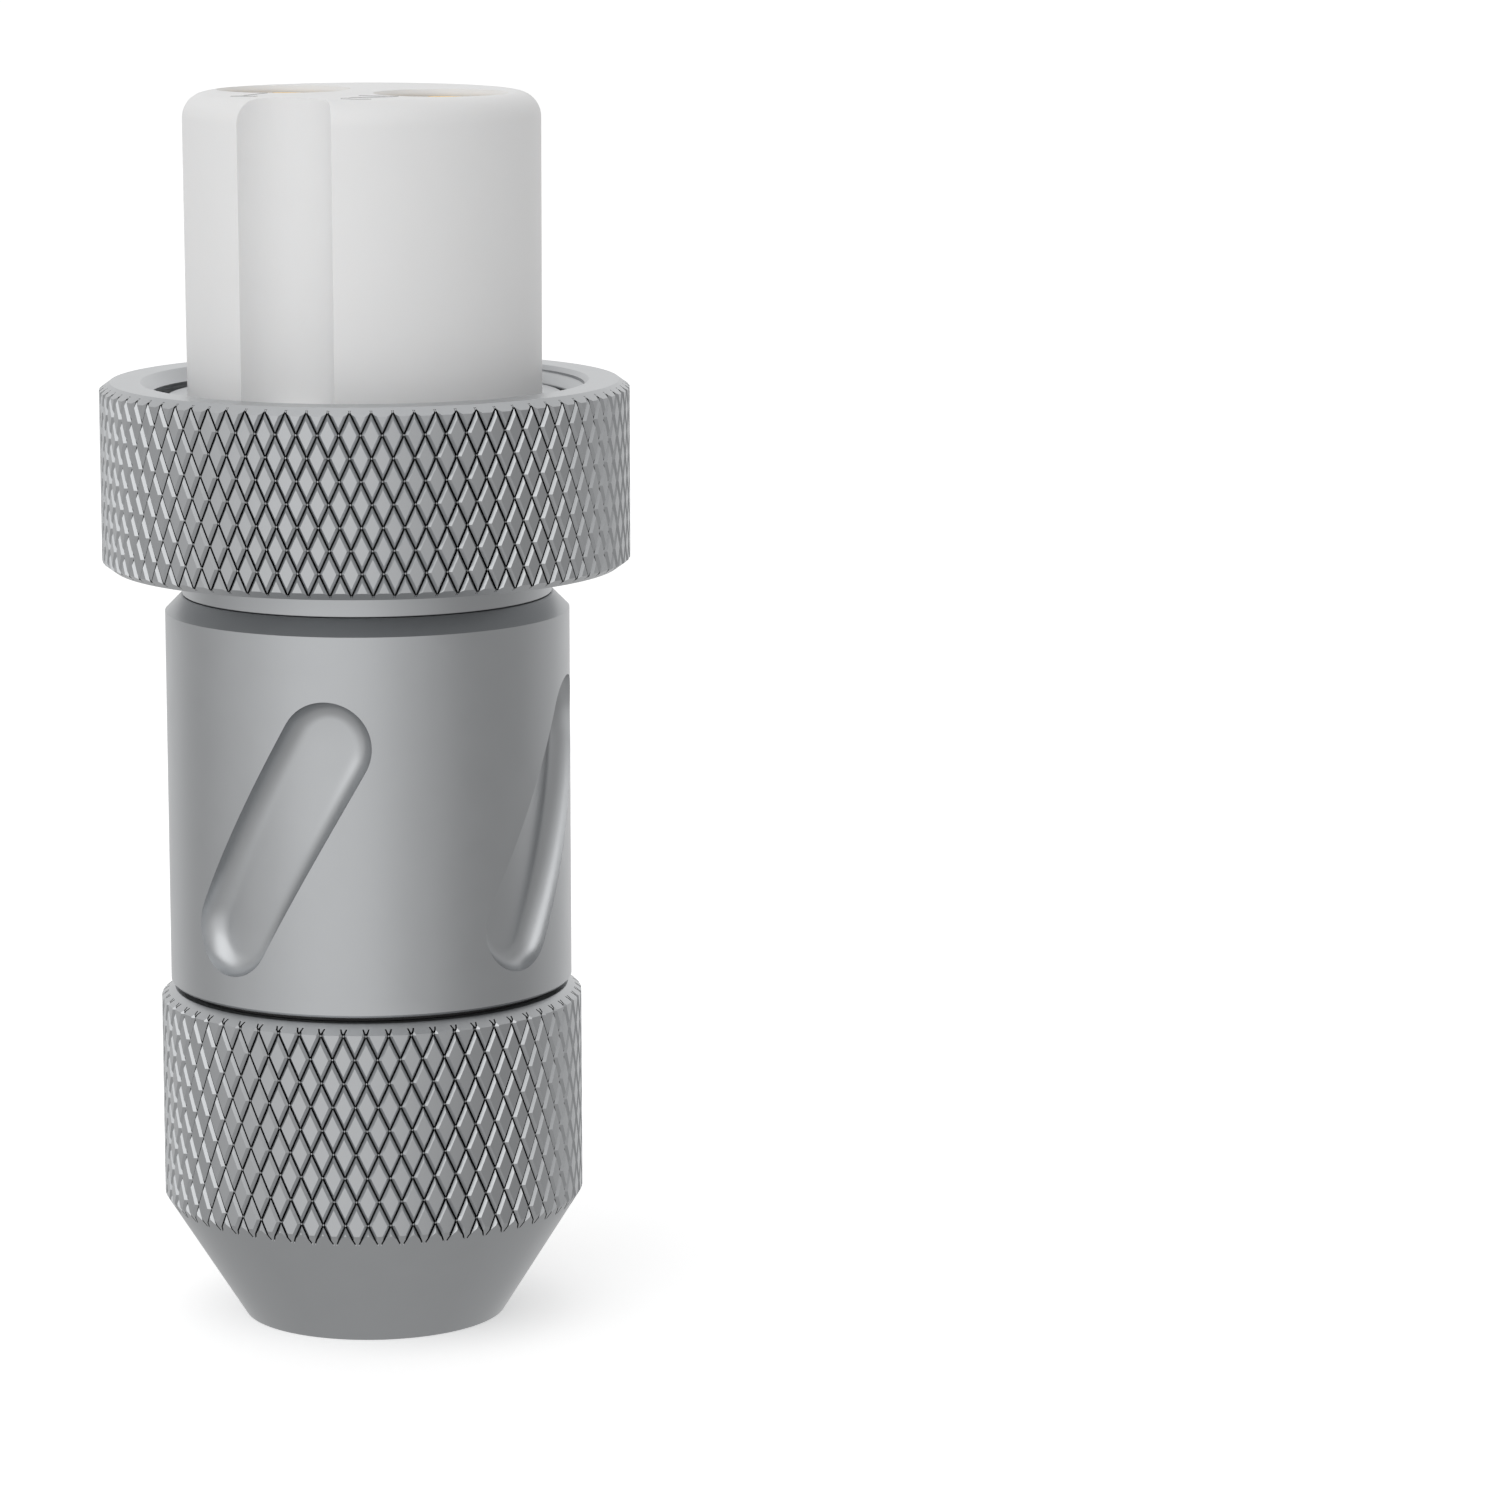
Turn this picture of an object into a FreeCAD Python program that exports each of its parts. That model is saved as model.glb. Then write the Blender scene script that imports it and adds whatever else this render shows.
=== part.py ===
import FreeCAD, Part
import math
import os

# Two-contact circular plug with a screwed coupling ring
# Millimetres, +Z towards the contacts, origin at the centre of the cable end
# The keyway faces -Y and the two contacts lie on the X axis

V = FreeCAD.Vector
Z = V(0, 0, 1)

# Clearances
RUN = 0.06            # radial, between pieces that turn or slide on each other
SEAT = 0.03           # radial, between pieces that are fixed together
FACE = 0.03           # axial, between faces that rest on each other

# Contacts
CONTACT_PITCH = 7.90
CONTACT_BORE = 1.75
CONTACT_WALL = 0.65
CONTACT_BORE_DEPTH = 9.00
CONTACT_LEAD_IN = 0.45
CONTACT_RECESS = 0.28
CONTACT_SLOT_WIDTH = 0.45
CONTACT_SLOT_LENGTH = 8.00
COLLAR_STEP = 0.35
COLLAR_THICKNESS = 1.20
CUP_RADIUS = 1.45
CUP_WALL = 0.55
CUP_DEPTH = 5.00
CUP_OPENING = 3.40
CUP_REACH = 5.00      # from the shell's back end to the cup's mouth
CONTACT_RADIUS = CONTACT_BORE + CONTACT_WALL
COLLAR_RADIUS = CONTACT_RADIUS + COLLAR_STEP
TAIL_RADIUS = CUP_RADIUS + CUP_WALL
X_CONTACT = CONTACT_PITCH / 2

# Clips that hold the contacts
CLIP_THICKNESS = 0.40
CLIP_BITE = 0.35
CLIP_STEP = 0.50
CLIP_GAP = 1.60
CLIP_RADIUS = TAIL_RADIUS + CLIP_STEP

# Insert
CAVITY_GAP = 0.10
CAVITY_DEPTH = 11.00
CAVITY_RIM = 0.20
HEAD_WALL = 1.30
HEAD_PROUD = 13.75
HEAD_ROUND = 1.15
SHANK_WALL = 1.05
SHANK_LENGTH = 8.70
KEYWAY_RADIUS = 2.60
KEYWAY_DEPTH = 1.78
CAVITY_RADIUS = COLLAR_RADIUS + CAVITY_GAP
HEAD_RADIUS = X_CONTACT + CAVITY_RADIUS + HEAD_WALL
SHANK_RADIUS = X_CONTACT + TAIL_RADIUS + SHANK_WALL

# Rear insulator and insert nut
INSULATOR_THICKNESS = 2.20
INSERT_NUT_THICKNESS = 1.40
INSERT_NUT_WALL = 0.85
SPANNER_SLOT_WIDTH = 1.60
SPANNER_SLOT_DEPTH = 0.70

# Ring seals
SHANK_SEAL_SECTION = 0.60
CONTACT_SEAL_SECTION = 0.40
BODY_SEAL_SECTION = 0.60
SEAL_ROOM = 1.20      # groove width as a multiple of the section
NUT_SEAL_WIDTH = 0.65

# Front shell
SHELL_WALL = 0.97
NECK_STEP = 0.45
FLANGE_RIM = 1.04
FLANGE_EDGE = 0.15
FLANGE_THICKNESS = 1.50
FRONT_THREAD_LENGTH = 3.20
NECK_LENGTH = 9.05
FRONT_THREAD_RADIUS = SHANK_RADIUS + SEAT + SHELL_WALL
NECK_RADIUS = FRONT_THREAD_RADIUS + NECK_STEP
FLANGE_RADIUS = HEAD_RADIUS + FLANGE_RIM

# Coupling ring
RING_THREAD_GAP = 0.32
RING_THREAD_DEPTH = 0.54
RING_WALL = 2.05
RING_LENGTH = 8.47
RING_SETBACK = 1.27   # from the sleeve's front face to the ring's back face
RING_CHAMFER_R = 0.48
RING_CHAMFER_Z = 0.35
RING_LIP_THICKNESS = 2.20
RING_MOUTH_CHAMFER = 0.20
RING_RELIEF_DEPTH = 0.10
RING_RELIEF_LENGTH = 1.20
WASHER_THICKNESS = 0.50
WASHER_GAP = 0.10
RING_THREAD_MINOR = FLANGE_RADIUS + RING_THREAD_GAP
RING_THREAD_RADIUS = RING_THREAD_MINOR + RING_THREAD_DEPTH
RING_RADIUS = RING_THREAD_RADIUS + RING_WALL

# Diamond knurl: flat lands between crossing V grooves
KNURL_WIDTH = 1.08      # of one diamond
KNURL_STEP = 1.04       # from one row of crossings to the next, half a diamond's height
KNURL_GROOVE = 0.32     # width of a groove between the lands
KNURL_DEPTH = 0.15
KNURL_LEDGE = 0.02      # step between the nut's plain cone and the end of its knurl

# Sleeve
SLEEVE_WALL = 1.22
SLEEVE_LENGTH = 18.00
SLEEVE_CHAMFER = 0.75
SLEEVE_BACK_CHAMFER = 0.12
SLEEVE_GAP = 0.25     # between sleeve and back nut
RECESS_COUNT = 4
RECESS_WIDTH = 4.20
RECESS_SPAN = 10.00
RECESS_LEAN = 30.0
RECESS_DEPTH = 1.00
RECESS_ROUND = 0.90
RECESS_CENTRE = 7.90
RECESS_PHASE = -91.5
RECESS_FLOOR_WALL = 1.05
CHAMBER_FLOOR = 2.00
REAR_SHOULDER = 1.25
REAR_WALL = 1.40
SLEEVE_RADIUS = FRONT_THREAD_RADIUS + SEAT + SLEEVE_WALL
CHAMBER_RADIUS = SLEEVE_RADIUS - RECESS_DEPTH - RECESS_FLOOR_WALL
REAR_THREAD_RADIUS = SLEEVE_RADIUS - REAR_SHOULDER
REAR_BORE_RADIUS = REAR_THREAD_RADIUS - REAR_WALL

# Cable clamp
GROMMET_BORE = 3.60
GROMMET_WALL = 1.07
GROMMET_FLANGE_THICKNESS = 1.00
GROMMET_FLANGE_GAP = 0.12
CLAW_WALL = 1.50
CLAW_FLANGE_THICKNESS = 0.80
CLAW_TUBE_LENGTH = 3.00
FINGER_LENGTH = 4.00
FINGER_GAP = 0.35
FINGER_COUNT = 6
FINGER_SLOT = 1.00
SLIP_WASHER_THICKNESS = 0.60
SLIP_WASHER_GAP = 0.40
CLAW_BORE = GROMMET_BORE + GROMMET_WALL + SEAT
CLAW_ROOT_RADIUS = CLAW_BORE + CLAW_WALL
CLAW_FLANGE_RADIUS = REAR_THREAD_RADIUS + RUN - FINGER_GAP
SLIP_WASHER_BORE = CLAW_ROOT_RADIUS + SLIP_WASHER_GAP

# Back nut
NUT_LENGTH = 15.55
NUT_STEP = 0.45
NUT_CHAMFER_R = 0.60
NUT_CHAMFER_Z = 0.45
NUT_CONE_LENGTH = 5.84
NUT_END_WALL = 0.94
NUT_SEAT_STEP = 0.40
CABLE_ENTRY_GAP = 0.40
CABLE_ENTRY_LENGTH = 1.50
ENTRY_CHAMFER = 0.35
TIP_SETBACK = 1.27    # from the cable entry to the claw's finger tips
NUT_RADIUS = SLEEVE_RADIUS + NUT_STEP
CABLE_ENTRY_RADIUS = CLAW_BORE + CABLE_ENTRY_GAP
NUT_END_RADIUS = CABLE_ENTRY_RADIUS + NUT_END_WALL
NUT_SEAT_BORE = SLIP_WASHER_BORE + NUT_SEAT_STEP

# Levels along Z
Z_FINGER_TIP = CABLE_ENTRY_LENGTH + TIP_SETBACK
Z_CLAW_FLANGE = Z_FINGER_TIP + FINGER_LENGTH
Z_THREAD_END = Z_CLAW_FLANGE + CLAW_FLANGE_THICKNESS + FACE
Z_CLAW_FRONT = Z_THREAD_END + CLAW_TUBE_LENGTH
Z_SLIP_BACK = Z_CLAW_FLANGE - FACE - SLIP_WASHER_THICKNESS
Z_NUT_SEAT = Z_SLIP_BACK - FACE
Z_SLEEVE_BACK = NUT_LENGTH + SLEEVE_GAP
Z_SLEEVE_FRONT = Z_SLEEVE_BACK + SLEEVE_LENGTH
Z_FLANGE = Z_SLEEVE_FRONT + NECK_LENGTH
Z_SHOULDER = Z_FLANGE + FACE
Z_FACE = Z_FLANGE + HEAD_PROUD
Z_SHELL_BACK = Z_SLEEVE_FRONT - FRONT_THREAD_LENGTH
Z_SHANK_BACK = Z_SHOULDER - SHANK_LENGTH
Z_INSULATOR_BACK = Z_SHANK_BACK - FACE - INSULATOR_THICKNESS
Z_INSERT_NUT = Z_INSULATOR_BACK - FACE
Z_CAVITY = Z_FACE - CAVITY_DEPTH
Z_TIP = Z_FACE - CONTACT_RECESS
Z_TAIL = Z_SHELL_BACK - CUP_REACH
Z_CLIP = Z_SHANK_BACK - FACE - CLIP_THICKNESS
Z_RING_BACK = Z_SLEEVE_FRONT + RING_SETBACK
Z_RING_FRONT = Z_RING_BACK + RING_LENGTH
Z_LIP = Z_RING_BACK + RING_LIP_THICKNESS
Z_SHANK_SEAL = Z_SHOULDER - 2.4 * SHANK_SEAL_SECTION
Z_CONTACT_SEAL = Z_CAVITY - 3.0 * CONTACT_SEAL_SECTION
Z_BODY_SEAL = Z_SLEEVE_FRONT + FACE - SEAL_ROOM * BODY_SEAL_SECTION / 2


def turned(profile):
    """Solid of revolution about Z from a list of (radius, height) corners."""
    wire = Part.makePolygon([V(r, 0, z) for r, z in profile + profile[:1]])
    return Part.Face(wire).revolve(V(0, 0, 0), Z, 360)


def disc(radius, z0, z1, x=0.0, y=0.0):
    """Upright cylinder between two heights."""
    return Part.makeCylinder(radius, z1 - z0, V(x, y, z0), Z)


def tube(outer, inner, z0, z1, x=0.0):
    """Upright tube between two heights."""
    return disc(outer, z0, z1, x).cut(disc(inner, z0 - 1, z1 + 1, x))


def ring_seal(bore, section, z, x=0.0):
    """Round-section ring that lies in a groove of the given floor radius."""
    return Part.makeTorus(bore + section / 2, section / 2, V(x, 0, z), Z)


def slot(width, length, z0, z1, angle, start=0.0):
    """Box that runs outward from the Z axis at the given angle."""
    box = Part.makeBox(length - start, width, z1 - z0, V(start, -width / 2, z0))
    box.rotate(V(0, 0, 0), Z, angle)
    return box


def at(r, angle, z):
    """Point at a radius, an angle in radians and a height."""
    return V(r * math.cos(angle), r * math.sin(angle), z)


def facet(*corners):
    """Flat face between corners."""
    return Part.Face(Part.makePolygon(corners + corners[:1]))


# Insert

def make_insert():
    groove = SHANK_SEAL_SECTION - SEAT
    half = SEAL_ROOM * SHANK_SEAL_SECTION / 2
    head = turned([(0, Z_SHOULDER), (HEAD_RADIUS, Z_SHOULDER), (HEAD_RADIUS, Z_FACE), (0, Z_FACE)])
    rim = [e for e in head.Edges if e.BoundBox.ZMin > Z_FACE - 0.01 and e.BoundBox.XMax > HEAD_RADIUS - 0.01]
    head = head.makeFillet(HEAD_ROUND, rim)
    key_y = -(HEAD_RADIUS - KEYWAY_DEPTH + KEYWAY_RADIUS)
    head = head.cut(disc(KEYWAY_RADIUS, Z_SHOULDER - 1, Z_FACE + 1, 0, key_y))
    shank = turned([
        (0, Z_SHANK_BACK), (SHANK_RADIUS, Z_SHANK_BACK),
        (SHANK_RADIUS, Z_SHANK_SEAL - half), (SHANK_RADIUS - groove, Z_SHANK_SEAL - half),
        (SHANK_RADIUS - groove, Z_SHANK_SEAL + half), (SHANK_RADIUS, Z_SHANK_SEAL + half),
        (SHANK_RADIUS, Z_SHOULDER), (0, Z_SHOULDER)])
    body = head.fuse(shank)
    for x in (-X_CONTACT, X_CONTACT):
        body = body.cut(disc(CAVITY_RADIUS, Z_CAVITY, Z_FACE + 1, x))
        body = body.cut(disc(TAIL_RADIUS + SEAT, Z_SHANK_BACK - 1, Z_CAVITY + 1, x))
        rim_cone = Part.makeCone(CAVITY_RADIUS, CAVITY_RADIUS + CAVITY_RIM, CAVITY_RIM,
                                 V(x, 0, Z_FACE - CAVITY_RIM), Z)
        body = body.cut(rim_cone)
    return body.removeSplitter()


def make_insert_seal():
    return ring_seal(SHANK_RADIUS - SHANK_SEAL_SECTION + SEAT, SHANK_SEAL_SECTION, Z_SHANK_SEAL)


# Contacts

def make_contact(x, outward):
    """Slotted socket with a collar, a clip groove, a seal groove and a solder cup."""
    z_collar = Z_CAVITY + COLLAR_THICKNESS
    floor = Z_TIP - CONTACT_BORE_DEPTH
    clip_floor = TAIL_RADIUS - CLIP_BITE
    seal_floor = TAIL_RADIUS - CONTACT_SEAL_SECTION + SEAT
    seal_half = SEAL_ROOM * CONTACT_SEAL_SECTION / 2
    body = turned([
        (0, Z_TAIL), (TAIL_RADIUS, Z_TAIL),
        (TAIL_RADIUS, Z_CLIP - FACE), (clip_floor, Z_CLIP - FACE),
        (clip_floor, Z_CLIP + CLIP_THICKNESS + FACE), (TAIL_RADIUS, Z_CLIP + CLIP_THICKNESS + FACE),
        (TAIL_RADIUS, Z_CONTACT_SEAL - seal_half), (seal_floor, Z_CONTACT_SEAL - seal_half),
        (seal_floor, Z_CONTACT_SEAL + seal_half), (TAIL_RADIUS, Z_CONTACT_SEAL + seal_half),
        (TAIL_RADIUS, Z_CAVITY), (COLLAR_RADIUS, Z_CAVITY),
        (COLLAR_RADIUS, z_collar), (CONTACT_RADIUS, z_collar),
        (CONTACT_RADIUS, Z_TIP), (0, Z_TIP)])
    body = body.cut(turned([
        (0, floor - 0.5 * CONTACT_BORE), (CONTACT_BORE, floor),
        (CONTACT_BORE, Z_TIP - CONTACT_LEAD_IN), (CONTACT_BORE + CONTACT_LEAD_IN, Z_TIP),
        (CONTACT_BORE + CONTACT_LEAD_IN, Z_TIP + 1), (0, Z_TIP + 1)]))
    for k in range(4):
        body = body.cut(slot(CONTACT_SLOT_WIDTH, 2 * CONTACT_RADIUS, Z_TIP - CONTACT_SLOT_LENGTH,
                             Z_TIP + 1, 45 + 90 * k))
    body = body.cut(turned([
        (0, Z_TAIL - 1), (CUP_RADIUS, Z_TAIL - 1), (CUP_RADIUS, Z_TAIL + CUP_DEPTH),
        (0, Z_TAIL + CUP_DEPTH + 0.5 * CUP_RADIUS)]))
    scoop = Part.makeBox(2 * TAIL_RADIUS, 4 * TAIL_RADIUS, CUP_OPENING + 1,
                         V(0, -2 * TAIL_RADIUS, Z_TAIL - 1))
    if outward < 0:
        scoop.rotate(V(0, 0, 0), Z, 180)
    body = body.cut(scoop)
    body.translate(V(x, 0, 0))
    return body


def make_clip(x, outward):
    """Split clip in the contact's groove, its gap towards the middle."""
    inner = TAIL_RADIUS - CLIP_BITE + SEAT
    clip = tube(CLIP_RADIUS, inner, Z_CLIP, Z_CLIP + CLIP_THICKNESS)
    gap = slot(CLIP_GAP, 2 * CLIP_RADIUS, Z_CLIP - 1, Z_CLIP + CLIP_THICKNESS + 1, 180 if outward > 0 else 0)
    clip = clip.cut(gap)
    clip.translate(V(x, 0, 0))
    return clip


def make_contact_seal(x):
    return ring_seal(TAIL_RADIUS - CONTACT_SEAL_SECTION + SEAT, CONTACT_SEAL_SECTION, Z_CONTACT_SEAL, x)


# Behind the insert

def make_rear_insulator():
    body = disc(SHANK_RADIUS, Z_INSULATOR_BACK, Z_SHANK_BACK - FACE)
    for x in (-X_CONTACT, X_CONTACT):
        body = body.cut(disc(TAIL_RADIUS + SEAT, Z_TAIL, Z_FLANGE, x))
        body = body.cut(disc(CLIP_RADIUS + SEAT, Z_CLIP - FACE, Z_FLANGE, x))
    return body


def make_insert_nut():
    z0 = Z_INSERT_NUT - INSERT_NUT_THICKNESS
    body = tube(SHANK_RADIUS, SHANK_RADIUS - INSERT_NUT_WALL, z0, Z_INSERT_NUT)
    for k in range(4):
        body = body.cut(slot(SPANNER_SLOT_WIDTH, 2 * SHANK_RADIUS, z0 - 1, z0 + SPANNER_SLOT_DEPTH, 90 * k))
    return body


# Front shell

def make_front_shell():
    bore = SHANK_RADIUS + SEAT
    seal_floor = FRONT_THREAD_RADIUS - BODY_SEAL_SECTION + SEAT
    seal_room = SEAL_ROOM * BODY_SEAL_SECTION
    z_flange_back = Z_FLANGE - FLANGE_THICKNESS
    z_neck = Z_SLEEVE_FRONT + FACE
    return turned([
        (bore, Z_SHELL_BACK), (FRONT_THREAD_RADIUS, Z_SHELL_BACK),
        (FRONT_THREAD_RADIUS, z_neck - seal_room), (seal_floor, z_neck - seal_room),
        (seal_floor, z_neck), (NECK_RADIUS, z_neck),
        (NECK_RADIUS, z_flange_back), (FLANGE_RADIUS, z_flange_back),
        (FLANGE_RADIUS, Z_FLANGE - FLANGE_EDGE), (FLANGE_RADIUS - FLANGE_EDGE, Z_FLANGE),
        (bore, Z_FLANGE)])


def make_body_seal():
    return ring_seal(FRONT_THREAD_RADIUS - BODY_SEAL_SECTION + SEAT, BODY_SEAL_SECTION, Z_BODY_SEAL)


# Diamond knurl

def knurled_bar(radius, low, high):
    """Bar with a diamond knurl that runs out on a chamfer at either end.

    Each chamfer is the height of its edge, and the radius and height of its end.
    Every diamond has a flat land and four flat flanks, and its corners are crossings of the grooves.
    """
    floor = radius - KNURL_DEPTH
    count = round(2 * math.pi * radius / KNURL_WIDTH)
    half = math.pi / count
    z_low, z_high = [edge + (z - edge) * KNURL_DEPTH / (radius - r) for edge, r, z in (low, high)]
    rows = round((z_high - z_low) / KNURL_STEP)
    step = (z_high - z_low) / rows
    land = half - KNURL_GROOVE / 2 * math.hypot(half, step / radius) / step
    top = radius * math.cos(land)
    rise = top - floor * math.cos(half)
    run = radius * math.sin(land) - floor * math.sin(half)
    # Half the land's height, which keeps the flanks flat
    reach = step * rise * radius * math.sin(land) / floor
    reach = reach / (rise * math.sin(half) + run * (1 - math.cos(half)))

    def whole(a, z):
        """Faces of a whole diamond."""
        left, right = at(floor, a - half, z), at(floor, a + half, z)
        below, above = at(floor, a, z - step), at(floor, a, z + step)
        land_left, land_right = at(radius, a - land, z), at(radius, a + land, z)
        land_below, land_above = at(top, a, z - reach), at(top, a, z + reach)
        return [facet(land_left, land_below, land_right, land_above),
                facet(left, below, land_below, land_left), facet(below, right, land_right, land_below),
                facet(right, above, land_above, land_right), facet(above, left, land_left, land_above)]

    def cut_off(a, z, up, chamfer):
        """Faces of half a diamond and of the chamfer that cuts it off."""
        edge, r_end, z_end = chamfer
        left, right = at(floor, a - half, z), at(floor, a + half, z)
        tip, land_tip = at(floor, a, z + up * step), at(top, a, z + up * reach)
        share = (edge - z) / (up * reach)
        edge_left = at(radius, a - land, z) * (1 - share) + land_tip * share
        edge_right = at(radius, a + land, z) * (1 - share) + land_tip * share
        end_left, end_right = at(r_end, a - half, z_end), at(r_end, a + half, z_end)
        return [facet(edge_left, edge_right, land_tip),
                facet(left, edge_left, land_tip, tip), facet(edge_right, right, tip, land_tip),
                facet(edge_left, edge_right, end_right, end_left),
                facet(left, edge_left, end_left), facet(edge_right, right, end_right)]

    faces = []
    for i in range(count):
        faces += cut_off((2 * i + 1) * half, z_low, 1, low)
        faces += cut_off((2 * i + rows + 1) * half, z_high, -1, high)
        for k in range(1, rows):
            faces += whole((2 * i + k + 1) * half, z_low + k * step)
    for shift, (_, r_end, z_end) in ((0, low), (rows, high)):
        faces.append(facet(*[at(r_end, (2 * i + shift) * half, z_end) for i in range(count)]))
    shell = Part.makeShell(faces)
    shell.sewShape()
    bar = Part.Solid(shell)
    if bar.Volume < 0:
        bar.reverse()
    return bar


# Coupling ring and its washer

def make_coupling_ring():
    mouth = RING_THREAD_RADIUS + RING_MOUTH_CHAMFER
    relief = RING_THREAD_RADIUS + RING_RELIEF_DEPTH
    z_mouth = Z_RING_FRONT - (mouth - RING_THREAD_MINOR)
    r_end = RING_RADIUS - RING_CHAMFER_R
    bar = knurled_bar(RING_RADIUS, (Z_RING_BACK + RING_CHAMFER_Z, r_end, Z_RING_BACK),
                      (Z_RING_FRONT - RING_CHAMFER_Z, r_end, Z_RING_FRONT))
    return bar.cut(turned([
        (0, Z_RING_BACK - 1), (NECK_RADIUS + RUN, Z_RING_BACK - 1), (NECK_RADIUS + RUN, Z_LIP),
        (relief, Z_LIP), (relief, Z_LIP + RING_RELIEF_LENGTH),
        (RING_THREAD_MINOR, Z_LIP + RING_RELIEF_LENGTH), (RING_THREAD_MINOR, z_mouth),
        (mouth, Z_RING_FRONT), (mouth, Z_RING_FRONT + 1), (0, Z_RING_FRONT + 1)]))


def make_coupling_washer():
    z0 = Z_LIP + FACE
    return tube(RING_THREAD_MINOR - WASHER_GAP, NECK_RADIUS + RUN, z0, z0 + WASHER_THICKNESS)


# Sleeve

def recess_tool():
    """Cutter for one slanted round-ended recess that faces +X, its floor following the sleeve."""
    floor = SLEEVE_RADIUS - RECESS_DEPTH
    half = RECESS_WIDTH / 2
    run = RECESS_SPAN / 2
    reach = SLEEVE_RADIUS + 1
    prism = Part.makeBox(reach, RECESS_WIDTH, RECESS_SPAN, V(0, -half, -run))
    for z in (-run, run):
        prism = prism.fuse(Part.makeCylinder(half, reach, V(0, 0, z), V(1, 0, 0)))
    prism = prism.removeSplitter()
    prism.rotate(V(0, 0, 0), V(1, 0, 0), -RECESS_LEAN)
    prism = prism.cut(disc(floor, -SLEEVE_LENGTH, SLEEVE_LENGTH))
    foot = [e for e in prism.Edges if all(abs(math.hypot(v.X, v.Y) - floor) < 0.001 for v in e.Vertexes)]
    prism = prism.makeFillet(RECESS_ROUND, foot)
    prism.translate(V(0, 0, Z_SLEEVE_BACK + RECESS_CENTRE))
    return prism


def make_body_sleeve():
    r = SLEEVE_RADIUS
    c = SLEEVE_BACK_CHAMFER
    body = turned([
        (REAR_BORE_RADIUS, Z_THREAD_END), (REAR_THREAD_RADIUS, Z_THREAD_END),
        (REAR_THREAD_RADIUS, Z_SLEEVE_BACK), (r - c, Z_SLEEVE_BACK),
        (r, Z_SLEEVE_BACK + c), (r, Z_SLEEVE_FRONT - SLEEVE_CHAMFER),
        (r - SLEEVE_CHAMFER, Z_SLEEVE_FRONT), (FRONT_THREAD_RADIUS + SEAT, Z_SLEEVE_FRONT),
        (FRONT_THREAD_RADIUS + SEAT, Z_SHELL_BACK - FACE), (CHAMBER_RADIUS, Z_SHELL_BACK - FACE),
        (CHAMBER_RADIUS, Z_SLEEVE_BACK + CHAMBER_FLOOR), (REAR_BORE_RADIUS, Z_SLEEVE_BACK + CHAMBER_FLOOR)])
    tool = recess_tool()
    for k in range(RECESS_COUNT):
        cutter = tool.copy()
        cutter.rotate(V(0, 0, 0), Z, RECESS_PHASE + 360.0 * k / RECESS_COUNT)
        body = body.cut(cutter)
    return body


def make_nut_seal():
    inner = REAR_THREAD_RADIUS + SEAT
    return tube(inner + NUT_SEAL_WIDTH, inner, NUT_LENGTH + FACE, Z_SLEEVE_BACK - FACE)


# Back nut and cable clamp

def nut_cone_bore(z):
    """Radius of the nut's inner cone, which runs from its seat to the cable entry."""
    rise = (z - CABLE_ENTRY_LENGTH) / (Z_NUT_SEAT - CABLE_ENTRY_LENGTH)
    return CABLE_ENTRY_RADIUS + (NUT_SEAT_BORE - CABLE_ENTRY_RADIUS) * rise


def make_back_nut():
    thread = REAR_THREAD_RADIUS + RUN
    slope = (NUT_RADIUS - NUT_END_RADIUS) / NUT_CONE_LENGTH
    # The knurl runs out on the cone and ends a little further down
    z_join = NUT_CONE_LENGTH - 2 * KNURL_DEPTH / slope
    r_join = NUT_RADIUS - 2 * KNURL_DEPTH
    bar = knurled_bar(NUT_RADIUS, (NUT_CONE_LENGTH, r_join - KNURL_LEDGE, z_join),
                      (NUT_LENGTH - NUT_CHAMFER_Z, NUT_RADIUS - NUT_CHAMFER_R, NUT_LENGTH))
    body = bar.fuse(turned([(0, 0), (NUT_END_RADIUS, 0), (r_join, z_join), (0, z_join)]))
    return body.cut(turned([
        (0, -1), (CABLE_ENTRY_RADIUS + ENTRY_CHAMFER, -1), (CABLE_ENTRY_RADIUS + ENTRY_CHAMFER, 0),
        (CABLE_ENTRY_RADIUS, ENTRY_CHAMFER), (CABLE_ENTRY_RADIUS, CABLE_ENTRY_LENGTH),
        (NUT_SEAT_BORE, Z_NUT_SEAT), (thread, Z_NUT_SEAT), (thread, NUT_LENGTH + 1), (0, NUT_LENGTH + 1)]))


def make_slip_washer():
    return tube(CLAW_FLANGE_RADIUS, SLIP_WASHER_BORE, Z_SLIP_BACK, Z_SLIP_BACK + SLIP_WASHER_THICKNESS)


def make_clamp_claw():
    z_root = Z_CLAW_FLANGE + CLAW_FLANGE_THICKNESS
    tube_radius = REAR_BORE_RADIUS - SEAT
    body = turned([
        (CLAW_BORE, Z_FINGER_TIP), (nut_cone_bore(Z_FINGER_TIP) - FINGER_GAP, Z_FINGER_TIP),
        (CLAW_ROOT_RADIUS, Z_CLAW_FLANGE), (CLAW_FLANGE_RADIUS, Z_CLAW_FLANGE),
        (CLAW_FLANGE_RADIUS, z_root), (tube_radius, z_root),
        (tube_radius, Z_CLAW_FRONT), (CLAW_BORE, Z_CLAW_FRONT)])
    for k in range(FINGER_COUNT):
        body = body.cut(slot(FINGER_SLOT, 2 * CLAW_FLANGE_RADIUS, Z_FINGER_TIP - 1, Z_CLAW_FLANGE,
                             360.0 * k / FINGER_COUNT))
    return body


def make_cable_grommet():
    z_flange = Z_CLAW_FRONT + FACE
    flange = REAR_BORE_RADIUS - GROMMET_FLANGE_GAP
    return turned([
        (GROMMET_BORE, Z_FINGER_TIP), (CLAW_BORE - SEAT, Z_FINGER_TIP),
        (CLAW_BORE - SEAT, z_flange), (flange, z_flange),
        (flange, z_flange + GROMMET_FLANGE_THICKNESS),
        (GROMMET_BORE, z_flange + GROMMET_FLANGE_THICKNESS)])


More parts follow.
